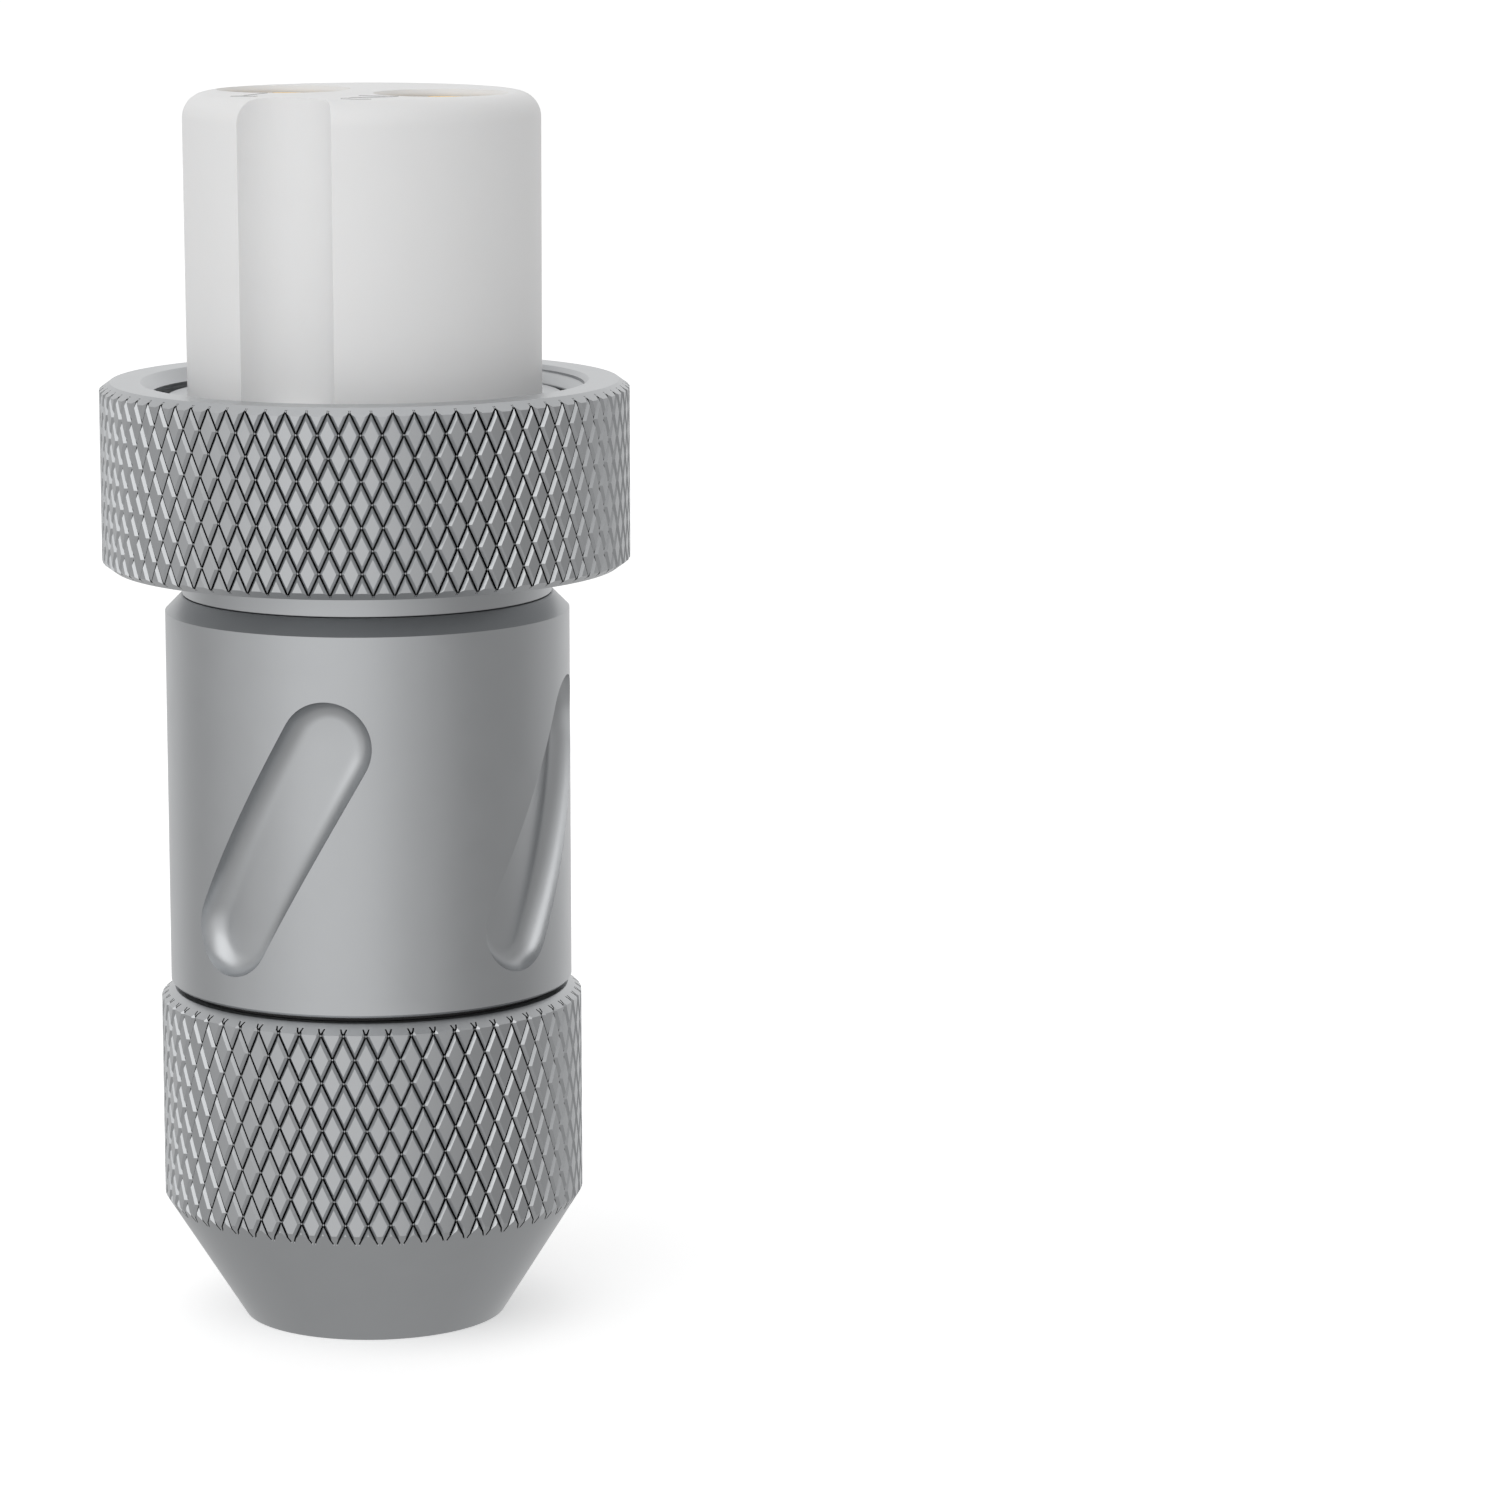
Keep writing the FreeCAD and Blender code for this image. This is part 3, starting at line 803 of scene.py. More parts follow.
@dataclass
class CouplingRing:
    """The knurled ring that screws the plug to its socket.

    Args:
        radius: Radius over the knurl.
        bore: Radius of the bore that turns on the neck.
        thread: Radius of the bore before its thread is cut.
        thread_root: Radius at the thread's root.
        mouth: Radius of the mouth.
        chamfer: Radial and axial size of the outer chamfers.
        lip: Thickness of the lip that the ring pulls with.
        relief: Length and extra depth of the relief behind the thread.
        diamonds: How many diamonds go round.
        half_steps: How many half diamonds lie between the outer rows of crossings.
        knurl_turn: Angle of one crossing, in degrees.
        thread_turn: Angle at which the thread begins, in degrees.
        around: Steps round the turned surfaces.
    """

    radius: float = 12.05
    bore: float = 8.51
    thread: float = 9.46
    thread_root: float = 10.00
    mouth: float = 10.20
    chamfer: tuple[float, float] = (0.48, 0.35)
    lip: float = 2.20
    relief: tuple[float, float] = (1.20, 0.10)
    diamonds: int = 79
    half_steps: int = 8
    knurl_turn: float = 1.31
    thread_turn: float = 102.6
    around: int = 316

    def build(self, paints: Paints) -> bpy.types.Object:
        """Makes the ring.

        Args:
            paints: The finishes.

        Returns:
            The ring.
        """
        back, front = level("coupling_ring", False), level("coupling_ring", True)
        c, h = self.chamfer
        lip = back + self.lip
        relief = self.thread_root + self.relief[1]
        face = self.radius - c
        past = self.radius + c
        ring = turned("ring_knurled", [
            Corner(self.bore, back, 0.10), Corner(face, back), Corner(past, back + 2 * h),
            Corner(past, front - 2 * h), Corner(face, front), Corner(self.mouth, front, 0.04),
            Corner(self.thread, front - self.mouth + self.thread, 0.04),
            Corner(self.thread, lip + self.relief[0]), Corner(relief, lip + self.relief[0]),
            Corner(relief, lip, 0.05), Corner(self.bore, lip, 0.05)], self.around)
        knurl = Knurl(self.radius, self.diamonds, 2 * (front - back - h) / self.half_steps,
                      back + h / 2, self.knurl_turn)
        carve(ring, knurl.solid(back, front), Cut.DOWN_TO)
        thread = Thread(Side.BORE, self.thread, self.thread_root - self.thread, PITCH,
                        lip + self.relief[0], front + PITCH, self.thread_turn)
        carve(ring, thread.tool(), Cut.AWAY)
        settle(ring, Body.RING, Slot.SHELL, paints.of(BLASTED), "coupling_ring")
        # The slots at the knurl's roots get painted shade.
        knurl.paint_slot_shade(ring, back, front, paints.of(PAINTED_SLOT_SHADE))
        return ring


@dataclass
class BackNut:
    """The knurled nut that closes the cable end and squeezes the clamp.

    Args:
        radius: Radius over the knurl.
        end: Radius of the cable end.
        cone: Length of the plain cone.
        chamfer: Radial and axial size of the front chamfer.
        thread: Radius of the bore before its thread is cut.
        seat: Radius and height of the seat that pushes the slip washer.
        entry: Radius and length of the cable entry.
        lead_ins: Sizes of the lead-ins of the cable entry and of the bore.
        diamonds: How many diamonds go round.
        period: Height of one diamond.
        first_row: How far the first row of crossings lies below the front face.
        knurl_turn: Angle of one crossing, in degrees.
        band_start: How far below the cone's upper end the knurl may begin.
        overrun: How far the knurled bar reaches past the cable end.
        thread_ends: How far the thread stays from the seat and from the front face.
        around: Steps round the turned surfaces.
    """

    radius: float = 9.70
    end: float = 6.04
    cone: float = 5.84
    chamfer: tuple[float, float] = (0.60, 0.45)
    thread: float = 8.06
    seat: tuple[float, float] = (7.00, 6.11)
    entry: tuple[float, float] = (5.10, 1.50)
    lead_ins: Spot = (0.35, 0.30)
    diamonds: int = 59
    period: float = 2.182
    first_row: float = 0.506
    knurl_turn: float = 1.62
    band_start: float = 0.45
    overrun: float = 0.20
    thread_ends: Spot = (1.60, 0.60)
    around: int = 236

    def build(self, paints: Paints) -> bpy.types.Object:
        """Makes the nut.

        Args:
            paints: The finishes.

        Returns:
            The nut.
        """
        back, front = level("back_nut", False), level("back_nut", True)
        c, h = self.chamfer
        slope = (self.radius - self.end) / self.cone
        past = 1.0
        entry_in, bore_in = self.lead_ins
        nut = turned("nut_knurled", [
            Corner(self.entry[0] + entry_in, back, 0.04), Corner(self.end, back, 0.06),
            Corner(self.radius + past * slope, back + self.cone + past),
            Corner(self.radius + past * slope, front - h * (1 + past * slope / c)),
            Corner(self.radius - c, front, 0.03), Corner(self.thread + bore_in, front, 0.03),
            Corner(self.thread, front - bore_in), Corner(self.thread, self.seat[1]),
            Corner(self.seat[0], self.seat[1], 0.05), Corner(self.entry[0], self.entry[1], 0.10),
            Corner(self.entry[0], back + entry_in, 0.10)], self.around)
        knurl = Knurl(self.radius, self.diamonds, self.period, front - self.first_row, self.knurl_turn)
        carve(nut, knurl.solid(back - self.overrun, front), Cut.DOWN_TO)
        thread = Thread(Side.BORE, self.thread, THREAD_DEPTH, PITCH, self.seat[1] + self.thread_ends[0],
                        front - self.thread_ends[1])
        carve(nut, thread.tool(), Cut.AWAY)
        settle(nut, Body.NUT, Slot.SHELL, paints.of(BLASTED), "back_nut")
        # The slots at the knurl's roots get painted shade.
        knurl.paint_slot_shade(nut, back + self.cone - self.band_start, front, paints.of(PAINTED_SLOT_SHADE))
        return nut


@dataclass(frozen=True)
class FingerRecess:
    """A slanted round-ended recess with hollow flanks and a floor that follows the sleeve.

    Args:
        half_width: Half its width.
        half_run: Half the distance between the centres of its ends.
        lean: How far it leans from upright.
        depth: Depth of its floor.
        flank: Width of its hollow flanks.
        flank_steps: Steps down a flank.
        floor_steps: Steps across the floor.
        skin_steps: Steps between the recess and the edges of its field.
        halvings: How often the search for the rim halves its reach.
    """

    half_width: float = 2.10
    half_run: float = 5.00
    lean: float = math.radians(30.0)
    depth: float = 1.00
    flank: float = 0.92
    flank_steps: int = 9
    floor_steps: int = 5
    skin_steps: int = 9
    halvings: int = 40

    def nearest(self, spot: Vector) -> Vector:
        """Finds the nearest point of the recess's middle line.

        Args:
            spot: A point of the unrolled sleeve, from the recess's centre.

        Returns:
            The nearest point.
        """
        along = Vector((math.sin(self.lean), math.cos(self.lean)))
        return along * max(-self.half_run, min(self.half_run, spot.dot(along)))

    def rim(self, toward: Vector) -> Vector:
        """Finds where the way to a far point crosses the recess's rim.

        Args:
            toward: The far point, outside the recess.

        Returns:
            The point on the rim.
        """
        inside, outside = 0.0, 1.0
        for _ in range(self.halvings):
            t = (inside + outside) / 2
            if (toward * t - self.nearest(toward * t)).length < self.half_width:
                inside = t
            else:
                outside = t
        return toward * inside

    def field(self, toward: Vector) -> list[tuple[Vector, float]]:
        """Works out the line of points from the edge of the recess's field to its centre.

        Args:
            toward: A point on the edge of the field.

        Returns:
            The points of the unrolled sleeve, each with its depth.
        """
        rim = self.rim(toward)
        inward = (self.nearest(rim) - rim).normalized()
        line = [(toward.lerp(rim, k / self.skin_steps), 0.0) for k in range(self.skin_steps)]
        for k in range(self.flank_steps + 1):
            turn = math.pi / 2 * k / self.flank_steps
            line.append((rim + inward * self.flank * (1 - math.cos(turn)), self.depth * math.sin(turn)))
        foot = line[-1][0]
        for k in range(1, self.floor_steps + 1):
            line.append((foot * (1 - k / self.floor_steps), self.depth))
        return line


@dataclass
class BodySleeve:
    """The long sleeve with four finger recesses and a threaded rear boss.

    Args:
        radius: Outer radius.
        front_thread: Radius of its front bore.
        chamber: Radius of the wiring chamber.
        chamber_floor: How far the chamber's floor lies above the sleeve's back shoulder.
        boss: Radius over the rear thread.
        boss_bore: Radius of the rear bore.
        chamfer: Size of the front chamfer.
        back_chamfer: Size of the chamfer beside the nut.
        recess: The recess that is repeated round it.
        recess_count: How many recesses there are.
        recess_centre: Height of the recesses' centres above the back shoulder.
        recess_angle: Angle of the first recess's centre.
        field_width: Steps across one recess's field.
        field_height: Steps up one recess's field.
        thread_ends: How far the boss's thread stays from the boss's end and from the shoulder.
    """

    radius: float = 9.25
    front_thread: float = 8.03
    chamber: float = 7.20
    chamber_floor: float = 2.00
    boss: float = 8.00
    boss_bore: float = 6.60
    chamfer: float = 0.75
    back_chamfer: float = 0.12
    recess: FingerRecess = FingerRecess()
    recess_count: int = 4
    recess_centre: float = 7.90
    recess_angle: float = math.radians(-91.5)
    field_width: int = 72
    field_height: int = 56
    thread_ends: Spot = (0.55, 1.10)

    def build(self, paints: Paints) -> bpy.types.Object:
        """Makes the sleeve.

        Args:
            paints: The finishes.

        Returns:
            The sleeve.
        """
        back, front = level("nut_seal", True) + FACE_GAP, level("body_sleeve", True)
        end, shell_back = level("body_sleeve", False), level("front_shell", False) - FACE_GAP
        draft = Draft()
        low, high = back + self.back_chamfer, front - self.chamfer
        for k in range(self.recess_count):
            self._skin(draft, self.recess_angle + 2 * math.pi * k / self.recess_count,
                       back + self.recess_centre, low, high)
        start = self.recess_angle - math.pi / self.recess_count
        profile = softened([
            Corner(self.radius, high), Corner(self.radius - self.chamfer, front, 0.05),
            Corner(self.front_thread, front, 0.05), Corner(self.front_thread, shell_back),
            Corner(self.chamber, shell_back), Corner(self.chamber, back + self.chamber_floor),
            Corner(self.boss_bore, back + self.chamber_floor), Corner(self.boss_bore, end, 0.06),
            Corner(self.boss, end, 0.30), Corner(self.boss, back),
            Corner(self.radius - self.back_chamfer, back), Corner(self.radius, low)])
        draft.turn(profile, self.recess_count * self.field_width, start, closed=False)
        sleeve = draft.solid("sleeve_recessed")
        thread = Thread(Side.OUTSIDE, self.boss, THREAD_DEPTH, PITCH, end + self.thread_ends[0],
                        back - self.thread_ends[1])
        carve(sleeve, thread.tool(), Cut.AWAY)
        return settle(sleeve, Body.PLUG, Slot.SHELL, paints.of(BLASTED), "body_sleeve")

    def _skin(self, draft: Draft, angle: float, centre: float, low: float, high: float) -> None:
        """Adds one recess and the skin round it.

        Args:
            draft: The draft that takes it.
            angle: Angle of its centre.
            centre: Height of its centre.
            low: Height of the skin's lower edge.
            high: Height of its upper edge.
        """
        half = math.pi * self.radius / self.recess_count
        across, up = self.field_width, self.field_height
        edge = [Vector((half * (2 * k / across - 1), low - centre)) for k in range(across)]
        edge += [Vector((half, low + (high - low) * k / up - centre)) for k in range(up)]
        edge += [Vector((half * (1 - 2 * k / across), high - centre)) for k in range(across)]
        edge += [Vector((-half, high - (high - low) * k / up - centre)) for k in range(up)]
        lines = [self.recess.field(spot) for spot in edge]
        rings = [[draft.polar(self.radius - depth, angle + spot.x / self.radius, centre + spot.y)
                  for spot, depth in step] for step in zip(*lines)]
        draft.rings(rings, closed=False)


@dataclass
class InsertHead:
    """The white moulded insert with its keyway and two cavities.

    Args:
        radius: Radius of the head.
        shank: Radius of the shank inside the shell.
        edge: Rounding of the head's front edge.
        key_radius: Radius of the keyway's hollow.
        key_depth: Depth of the keyway.
        pitch: Distance between the cavities.
        cavity: Radius of a cavity.
        cavity_depth: Depth of a cavity.
        tail: Radius of the hole for a contact's tail.
        rim: Size of the cavity's lead-in.
        seal_groove: Width and depth of the groove for its ring seal.
        around: Steps round the turned surfaces.
        edge_steps: Steps round the head's front edge.
    """

    radius: float = 8.10
    shank: float = 7.00
    edge: float = 1.15
    key_radius: float = 2.60
    key_depth: float = 1.78
    pitch: float = 7.90
    cavity: float = 2.85
    cavity_depth: float = 11.00
    tail: float = 2.03
    rim: float = 0.20
    seal_groove: tuple[float, float] = (0.72, 0.57)
    around: int = 256
    edge_steps: int = 12

    def build(self, paints: Paints) -> bpy.types.Object:
        """Makes the insert.

        Args:
            paints: The finishes.

        Returns:
            The insert.
        """
        back, face = level("insert", False), level("insert", True)
        shoulder = level("front_shell", True) + FACE_GAP
        seal_low, seal_high = level("insert_seal", False), level("insert_seal", True)
        seal = (seal_low + seal_high) / 2
        half, deep = self.seal_groove[0] / 2, self.shank - self.seal_groove[1]
        profile = softened([
            Corner(0.0, back), Corner(self.shank, back, 0.10), Corner(self.shank, seal - half),
            Corner(deep, seal - half), Corner(deep, seal + half), Corner(self.shank, seal + half),
            Corner(self.shank, shoulder), Corner(self.radius, shoulder, 0.06)])
        for k in range(self.edge_steps + 1):
            turn = math.pi / 2 * k / self.edge_steps
            profile.append((self.radius - self.edge * (1 - math.cos(turn)),
                            face - self.edge * (1 - math.sin(turn))))
        profile.append((0.0, face))
        draft = Draft()
        draft.turn(profile, self.around)
        insert = draft.solid("insert_keyed")
        key, top = Draft(), face + CUTTER_REACH
        key.turn([(0.0, shoulder), (self.key_radius, shoulder), (self.key_radius, top), (0.0, top)],
                 self.around // 2)
        hollow = key.solid("key")
        away = Vector((0, -(self.radius - self.key_depth + self.key_radius), 0))
        hollow.data.transform(Matrix.Translation(away))
        carve(insert, hollow, Cut.AWAY)
        for x in (-self.pitch / 2, self.pitch / 2):
            hole = turned("cavity", [
                Corner(0.0, back - CUTTER_REACH), Corner(self.tail, back - CUTTER_REACH),
                Corner(self.tail, face - self.cavity_depth),
                Corner(self.cavity, face - self.cavity_depth), Corner(self.cavity, face - self.rim, 0.12),
                Corner(self.cavity + 2 * self.rim, face + self.rim), Corner(0.0, face + self.rim)],
                self.around // 2, x=x)
            carve(insert, hole, Cut.AWAY)
        return settle(insert, Body.PLUG, Slot.INSERT, paints.of(WHITE), "insert")


@dataclass
class FaceDigits:
    """The printed digits 1 and 2 on the insert's face, their tops towards the keyway.

    Args:
        thickness: Thickness of the ink.
        base: Distance of the digits' feet from the line through the contacts.
        stroke: Width of a stroke.
        centres: Where the middle of each digit lies along X.
        sink: How far the ink reaches into the face.
    """

    thickness: float = 0.015
    base: float = 3.20
    stroke: float = 0.35
    centres: tuple[float, float] = (-2.95, 2.50)
    sink: float = 0.02

    def one(self) -> list[Spot]:
        """Gives the outline of the 1, from its lower left corner."""
        return [(0.0, 2.27), (0.66, 2.52), (0.66, 0.0), (1.02, 0.0), (1.02, 2.90), (0.0, 2.55)]

    def two(self) -> list[Spot]:
        """Works out the outline of the 2 from the middle line of its stroke.

        Returns:
            The outline's points.
        """
        centre, reach = Vector((0.90, 2.02)), 0.70
        line = [centre + reach * Vector((math.cos(a), math.sin(a)))
                for a in (math.radians(150 - 9 * k) for k in range(20))]
        start, foot = line[-1], Vector((0.20, 0.30))
        leave, land = start + Vector((-0.20, -0.42)), foot + Vector((0.02, 0.52))
        for t in (k / 14 for k in range(1, 15)):
            s = 1 - t
            line.append(start * s**3 + leave * 3 * t * s**2 + land * 3 * t**2 * s + foot * t**3)
        half = self.stroke / 2
        left, right = [], []
        for k, spot in enumerate(line):
            run = (line[min(k + 1, len(line) - 1)] - line[max(k - 1, 0)]).normalized()
            side = Vector((-run.y, run.x)) * half
            left.append(spot + side)
            right.append(spot - side)
        foot_bar = [Vector((1.84, 0.31)), Vector((1.84, 0.0)), Vector((0.0, 0.0)), Vector((0.0, 0.24))]
        return [tuple(p) for p in left[:-1] + [Vector((0.42, 0.31))] + foot_bar + right[::-1][1:]]

    def build(self, paints: Paints) -> list[bpy.types.Object]:
        """Prints both digits.

        Args:
            paints: The finishes.

        Returns:
            The digits.
        """
        face = level("insert", True)
        made = []
        for name, outline, middle in (("digit_1", self.one(), self.centres[0]),
                                      ("digit_2", self.two(), self.centres[1])):
            right = middle + max(x for x, _ in outline) / 2
            digit = prism(name, [(right - x, -self.base - y) for x, y in outline], face - self.sink,
                          face + self.thickness)
            with opened(digit.data) as work:
                bmesh.ops.triangulate(work, faces=work.faces)
            made.append(settle(digit, Body.PLUG, Slot.INSERT, paints.of(INK)))
        return made


@dataclass
class SocketContact:
    """A slotted socket contact with collar, grooves and solder cup.

    Args:
        x: Where its axis stands.
        bore: Radius of its bore.
        radius: Radius of its sleeve.
        lead_in: Size of the lead-in at its mouth.
        bore_depth: Depth of its bore.
        drill_tip: Length of the drill's point for each millimetre of its radius.
        slot: Width and length of its four slots.
        collar: Radius and thickness of its collar.
        tail: Radius of its tail.
        cup: Radius and depth of its solder cup.
        cup_opening: Length of the cup's open side.
        clip_bite: Depth of the clip's groove.
        seal_bite: Depth of the seal's groove.
        seal_play: Room in the seal's groove above and below the seal.
        around: Steps round the turned surfaces.
    """

    x: float
    bore: float = 1.75
    radius: float = 2.40
    lead_in: float = 0.45
    bore_depth: float = 9.00
    drill_tip: float = 0.5
    slot: tuple[float, float] = (0.45, 8.00)
    collar: tuple[float, float] = (2.75, 1.20)
    tail: float = 2.00
    cup: tuple[float, float] = (1.45, 5.00)
    cup_opening: float = 3.40
    clip_bite: float = 0.35
    seal_bite: float = 0.37
    seal_play: float = 0.04
    around: int = 96

    def build(self, paints: Paints, number: int) -> bpy.types.Object:
        """Makes the contact.

        Args:
            paints: The finishes.
            number: 1 or 2.

        Returns:
            The contact.
        """
        node = f"contact_{number}"
        back, tip = level(node, False), level(node, True)
        cavity = level("insert", True) - InsertHead.cavity_depth
        clip = groove(f"contact_clip_{number}", FACE_GAP)
        seal = groove(f"contact_seal_{number}", self.seal_play)
        seal_floor, clip_floor = self.tail - self.seal_bite, self.tail - self.clip_bite
        collar_top = cavity + self.collar[1]
        cup_floor, bore_floor = back + self.cup[1], tip - self.bore_depth
        contact = turned(f"socket_{number}", [
            Corner(0.0, cup_floor + self.drill_tip * self.cup[0]), Corner(self.cup[0], cup_floor),
            Corner(self.cup[0], back, 0.06), Corner(self.tail, back, 0.06),
            Corner(self.tail, clip[0]), Corner(clip_floor, clip[0]), Corner(clip_floor, clip[1]),
            Corner(self.tail, clip[1]), Corner(self.tail, seal[0]), Corner(seal_floor, seal[0]),
            Corner(seal_floor, seal[1]), Corner(self.tail, seal[1]),
            Corner(self.tail, cavity), Corner(self.collar[0], cavity, 0.08),
            Corner(self.collar[0], collar_top, 0.08), Corner(self.radius, collar_top),
            Corner(self.radius, tip, 0.08), Corner(self.bore + self.lead_in, tip, 0.03),
            Corner(self.bore, tip - self.lead_in, 0.06), Corner(self.bore, bore_floor),
            Corner(0.0, bore_floor - self.drill_tip * self.bore)], self.around, x=self.x)
        half = self.slot[0] / 2
        for angle in (45, 135, 225, 315):
            saw = block((0.0, -half, tip - self.slot[1]), (2 * self.radius, half, tip + CUTTER_REACH),
                        math.radians(angle), self.x)
            carve(contact, saw, Cut.AWAY)
        side = math.copysign(1.0, self.x)
        open_side = sorted((0.0, side * 2 * self.tail))
        scoop = block((open_side[0], -2 * self.tail, back - CUTTER_REACH),
                      (open_side[1], 2 * self.tail, back + self.cup_opening), 0.0, self.x)
        carve(contact, scoop, Cut.AWAY)
        return settle(contact, Body.PLUG, Slot.CONTACT, paints.of(GILT), node)


@dataclass
class FrontShell:
    """The turned shell that holds the insert, with its flange and neck.

    Args:
        bore: Radius of its bore.
        flange: Radius of the flange.
        flange_thickness: Thickness of the flange.
        edge: Chamfer of the flange's rim.
        neck: Radius of the neck under the coupling ring.
        thread: Radius over its rear thread.
        seal_floor: Radius of the floor of the seal's groove.
        seal_room: Width of that groove.
        around: Steps round the turned surfaces.
    """

    bore: float = 7.03
    flange: float = 9.14
    flange_thickness: float = 1.50
    edge: float = 0.15
    neck: float = 8.45
    thread: float = 8.00
    seal_floor: float = 7.43
    seal_room: float = 0.72
    around: int = 240

    def build(self, paints: Paints) -> bpy.types.Object:
        """Makes the shell.

        Args:
            paints: The finishes.

        Returns:
            The shell.
        """
        back, front = level("front_shell", False), level("front_shell", True)
        neck = level("body_sleeve", True) + FACE_GAP
        flange_back = front - self.flange_thickness
        shell = turned("shell_turned", [
            Corner(self.bore, back, 0.08), Corner(self.thread, back, 0.20),
            Corner(self.thread, neck - self.seal_room), Corner(self.seal_floor, neck - self.seal_room),
            Corner(self.seal_floor, neck), Corner(self.neck, neck, 0.05), Corner(self.neck, flange_back),
            Corner(self.flange, flange_back, 0.08), Corner(self.flange, front - self.edge, 0.05),
            Corner(self.flange - self.edge, front, 0.05), Corner(self.bore, front, 0.10)], self.around)
        return settle(shell, Body.PLUG, Slot.SHELL, paints.of(BLASTED), "front_shell")


@dataclass(frozen=True)
class KeptPieces:
    """The CAD nodes whose shape stays as it is and that only get their finish.

    Args:
        seals: Nodes of rubber.
        clips: Nodes of spring steel.
        washers: Nodes of pale plastic.
        claws: Nodes of dark plastic.
        metal: Nodes of the casing's metal.
        insulators: Nodes of the insert's plastic.
    """

    seals: tuple[str, ...] = ("insert_seal", "body_seal", "contact_seal_1", "contact_seal_2", "nut_seal",
                              "cable_grommet")
    clips: tuple[str, ...] = ("contact_clip_1", "contact_clip_2")
    washers: tuple[str, ...] = ("coupling_washer", "slip_washer")
    claws: tuple[str, ...] = ("clamp_claw",)
    metal: tuple[str, ...] = ("insert_nut",)
    insulators: tuple[str, ...] = ("rear_insulator",)

    def dress(self, paints: Paints) -> None:
        """Gives every kept node its finish.

        Args:
            paints: The finishes.
        """
        for names, finish in ((self.seals, RUBBER), (self.clips, STEEL), (self.washers, NATURAL),
                              (self.claws, DARK), (self.metal, BLASTED), (self.insulators, WHITE)):
            for name in names:
                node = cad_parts[name]
                for holder in node.material_slots:
                    holder.material = paints.of(finish)
                log.info("%s: kept, %s", name, finish.name)


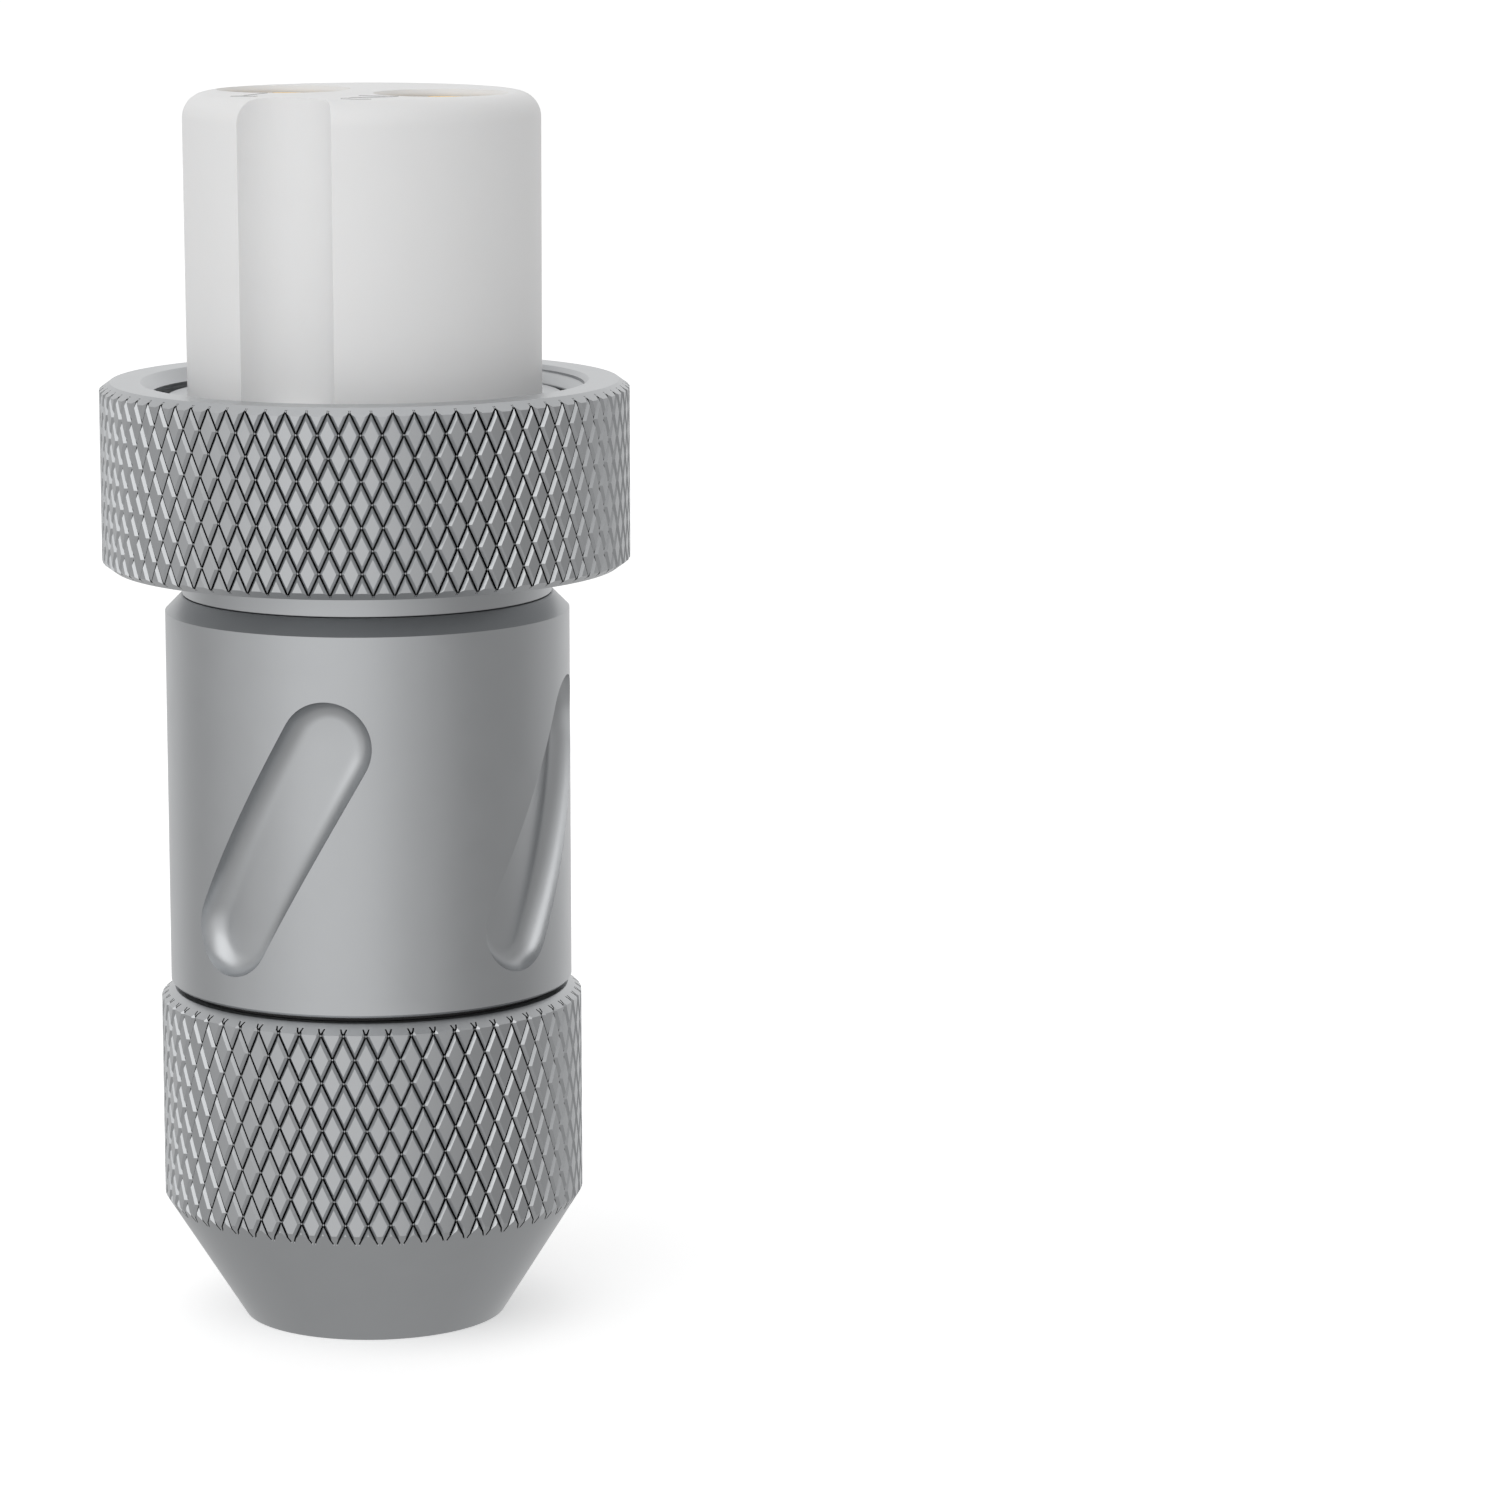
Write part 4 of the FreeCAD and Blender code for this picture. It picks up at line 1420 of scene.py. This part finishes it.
@dataclass
class Studio:
    """The pale floor, the soft light and the camera.

    Args:
        camera_place: The camera's place in metres.
        camera_turn: Its tilt from straight down, roll and heading in degrees.
        lens: Its focal length in millimetres.
        sensor: Width of its picture in millimetres.
        sees: The nearest and the farthest that it sees, in metres.
        heading: Compass heading of the side that the camera looks from, in degrees.
        around: Brightness of the studio's walls, by share of a full turn from behind the part.
        above: Brightness by height, from straight down to straight up.
        sides: How much the walls' brightness counts by height, from straight down to straight up.
        level: Brightness of the whole studio.
        key_place: Distance in metres, and the angles in degrees to the camera's left and up.
        key_size: Side of the softbox in metres.
        key_power: Its power in watts.
        key_aim: Height of the point that it is turned to, in metres.
        floor_tone: Grey of the floor.
        floor_lift: How much white the floor gets for the camera alone.
        floor_radius: Radius of the floor in metres.
    """

    camera_place: Point = (0.11335, -0.22900, 0.07094)
    camera_turn: Point = (80.088, 0.0, 22.4)
    lens: float = 134.82
    sensor: float = 36.0
    sees: Spot = (0.01, 10.0)
    heading: float = -67.6
    around: tuple[Spot, ...] = (
        (0.00, 0.97), (0.09, 0.86), (0.20, 0.52), (0.30, 0.74), (0.42, 1.00), (0.50, 0.98),
        (0.585, 0.68), (0.68, 0.42), (0.77, 0.42), (0.86, 0.63), (0.94, 0.92), (1.00, 0.97))
    above: tuple[Spot, ...] = (
        (0.00, 0.47), (0.16, 0.545), (0.42, 0.94), (0.53, 0.94), (0.64, 1.00), (0.80, 0.96), (1.00, 1.00))
    sides: tuple[Spot, ...] = ((0.0, 0.0), (0.10, 0.3), (0.35, 1.0), (0.85, 1.0), (1.0, 0.4))
    level: float = 1.0
    key_place: Point = (0.45, 30.0, 38.0)
    key_size: float = 0.60
    key_power: float = 0.52
    key_aim: float = 0.03
    floor_tone: float = 0.88
    floor_lift: float = 0.40
    floor_radius: float = 2.0

    def light(self) -> None:
        """Lights the studio: soft walls all round, darker to the right, and one softbox."""
        world = bpy.data.worlds.new("studio")
        bpy.context.scene.world = world
        world.use_nodes = True
        bench = NodeBench(world.node_tree)
        ways = bench.add("ShaderNodeTexCoord").outputs["Generated"]
        spin = bench.add("ShaderNodeMapping", vector_type="POINT", Vector=ways,
                         Rotation=(0.0, 0.0, math.radians(-self.heading)))
        compass = bench.add("ShaderNodeTexGradient", gradient_type="RADIAL", Vector=spin.outputs["Vector"])
        walls = bench.ramp(compass.outputs["Fac"], self.around)
        parts = bench.add("ShaderNodeSeparateXYZ", Vector=ways)
        height = bench.add("ShaderNodeMapRange", Value=parts.outputs["Z"], From_Min=-1.0, From_Max=1.0)
        tiers = bench.ramp(height.outputs["Result"], self.above)
        share = bench.ramp(height.outputs["Result"], self.sides)
        even = bench.add("ShaderNodeMix", data_type="RGBA", Factor=share, A=(1.0, 1.0, 1.0, 1.0), B=walls)
        both = bench.add("ShaderNodeMix", data_type="RGBA", blend_type="MULTIPLY", Factor=1.0,
                         A=even.outputs["Result"], B=tiers)
        glow = bench.add("ShaderNodeBackground", Color=both.outputs["Result"], Strength=self.level)
        plain = bench.add("ShaderNodeBackground", Color=(1.0, 1.0, 1.0, 1.0), Strength=1.0)
        rays = bench.add("ShaderNodeLightPath")
        pick = bench.add("ShaderNodeMixShader")
        bench.link(rays.outputs["Is Camera Ray"], pick.inputs[0])
        bench.link(glow.outputs["Background"], pick.inputs[1])
        bench.link(plain.outputs["Background"], pick.inputs[2])
        bench.add("ShaderNodeOutputWorld", Surface=pick.outputs["Shader"])
        self._softbox()

    def _softbox(self) -> None:
        """Hangs the one softbox, in front, above and to the left."""
        distance, left, up = self.key_place
        angle = math.radians(self.heading - left)
        rise = math.radians(up)
        aim = Vector((0.0, 0.0, self.key_aim))
        away = Vector((math.cos(angle) * math.cos(rise), math.sin(angle) * math.cos(rise), math.sin(rise)))
        lamp = bpy.data.lights.new("softbox", "AREA")
        lamp.shape = "SQUARE"
        lamp.size = self.key_size
        lamp.energy = self.key_power
        holder = bpy.data.objects.new("softbox", lamp)
        holder.location = aim + away * distance
        holder.rotation_euler = away.to_track_quat("Z", "Y").to_euler()
        bpy.context.scene.collection.objects.link(holder)

    def floor(self) -> bpy.types.Object:
        """Lays the pale floor.

        Returns:
            The floor.
        """
        draft = Draft()
        reach, steps = self.floor_radius / MM, 64
        draft.face(*[draft.polar(reach, 2 * math.pi * k / steps, 0.0) for k in range(steps)])
        plane = draft.solid("floor")
        plane.data.transform(Matrix.Scale(MM, 4))
        made = bpy.data.materials.new("pale_floor")
        made.use_nodes = True
        bench = NodeBench(made.node_tree)
        grey = bench.add("ShaderNodeBsdfDiffuse", Color=(self.floor_tone,) * 3 + (1.0,))
        rays = bench.add("ShaderNodeLightPath")
        lift = bench.add("ShaderNodeMath", operation="MULTIPLY")
        lift.inputs[1].default_value = self.floor_lift
        bench.link(rays.outputs["Is Camera Ray"], lift.inputs[0])
        glow = bench.add("ShaderNodeEmission", Color=(1.0, 1.0, 1.0, 1.0), Strength=lift.outputs["Value"])
        both = bench.add("ShaderNodeAddShader")
        bench.link(grey.outputs["BSDF"], both.inputs[0])
        bench.link(glow.outputs["Emission"], both.inputs[1])
        bench.add("ShaderNodeOutputMaterial", Surface=both.outputs["Shader"])
        plane.data.materials.append(made)
        plane.visible_glossy = False
        return plane

    def camera(self) -> bpy.types.Object:
        """Sets up the camera at the photograph's angle.

        Returns:
            The camera.
        """
        data = bpy.data.cameras.new("camera")
        data.lens = self.lens
        data.sensor_width = self.sensor
        data.clip_start, data.clip_end = self.sees
        holder = bpy.data.objects.new("camera", data)
        holder.location = self.camera_place
        holder.rotation_euler = [math.radians(a) for a in self.camera_turn]
        bpy.context.scene.collection.objects.link(holder)
        bpy.context.scene.camera = holder
        return holder


def main() -> None:
    """Builds the plug's looks around the frame, piece by piece."""
    logging.basicConfig(level=logging.INFO, format="%(name)s: %(message)s")
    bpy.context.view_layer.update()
    bpy.context.scene.view_settings.view_transform = "Standard"
    paints = Paints()
    studio = Studio()
    studio.camera()
    studio.light()
    studio.floor()
    CouplingRing().build(paints)
    BackNut().build(paints)
    BodySleeve().build(paints)
    FrontShell().build(paints)
    InsertHead().build(paints)
    FaceDigits().build(paints)
    half = InsertHead.pitch / 2
    for number, x in ((1, -half), (2, half)):
        SocketContact(x).build(paints, number)
    KeptPieces().dress(paints)


if __name__ == "__main__":
    main()
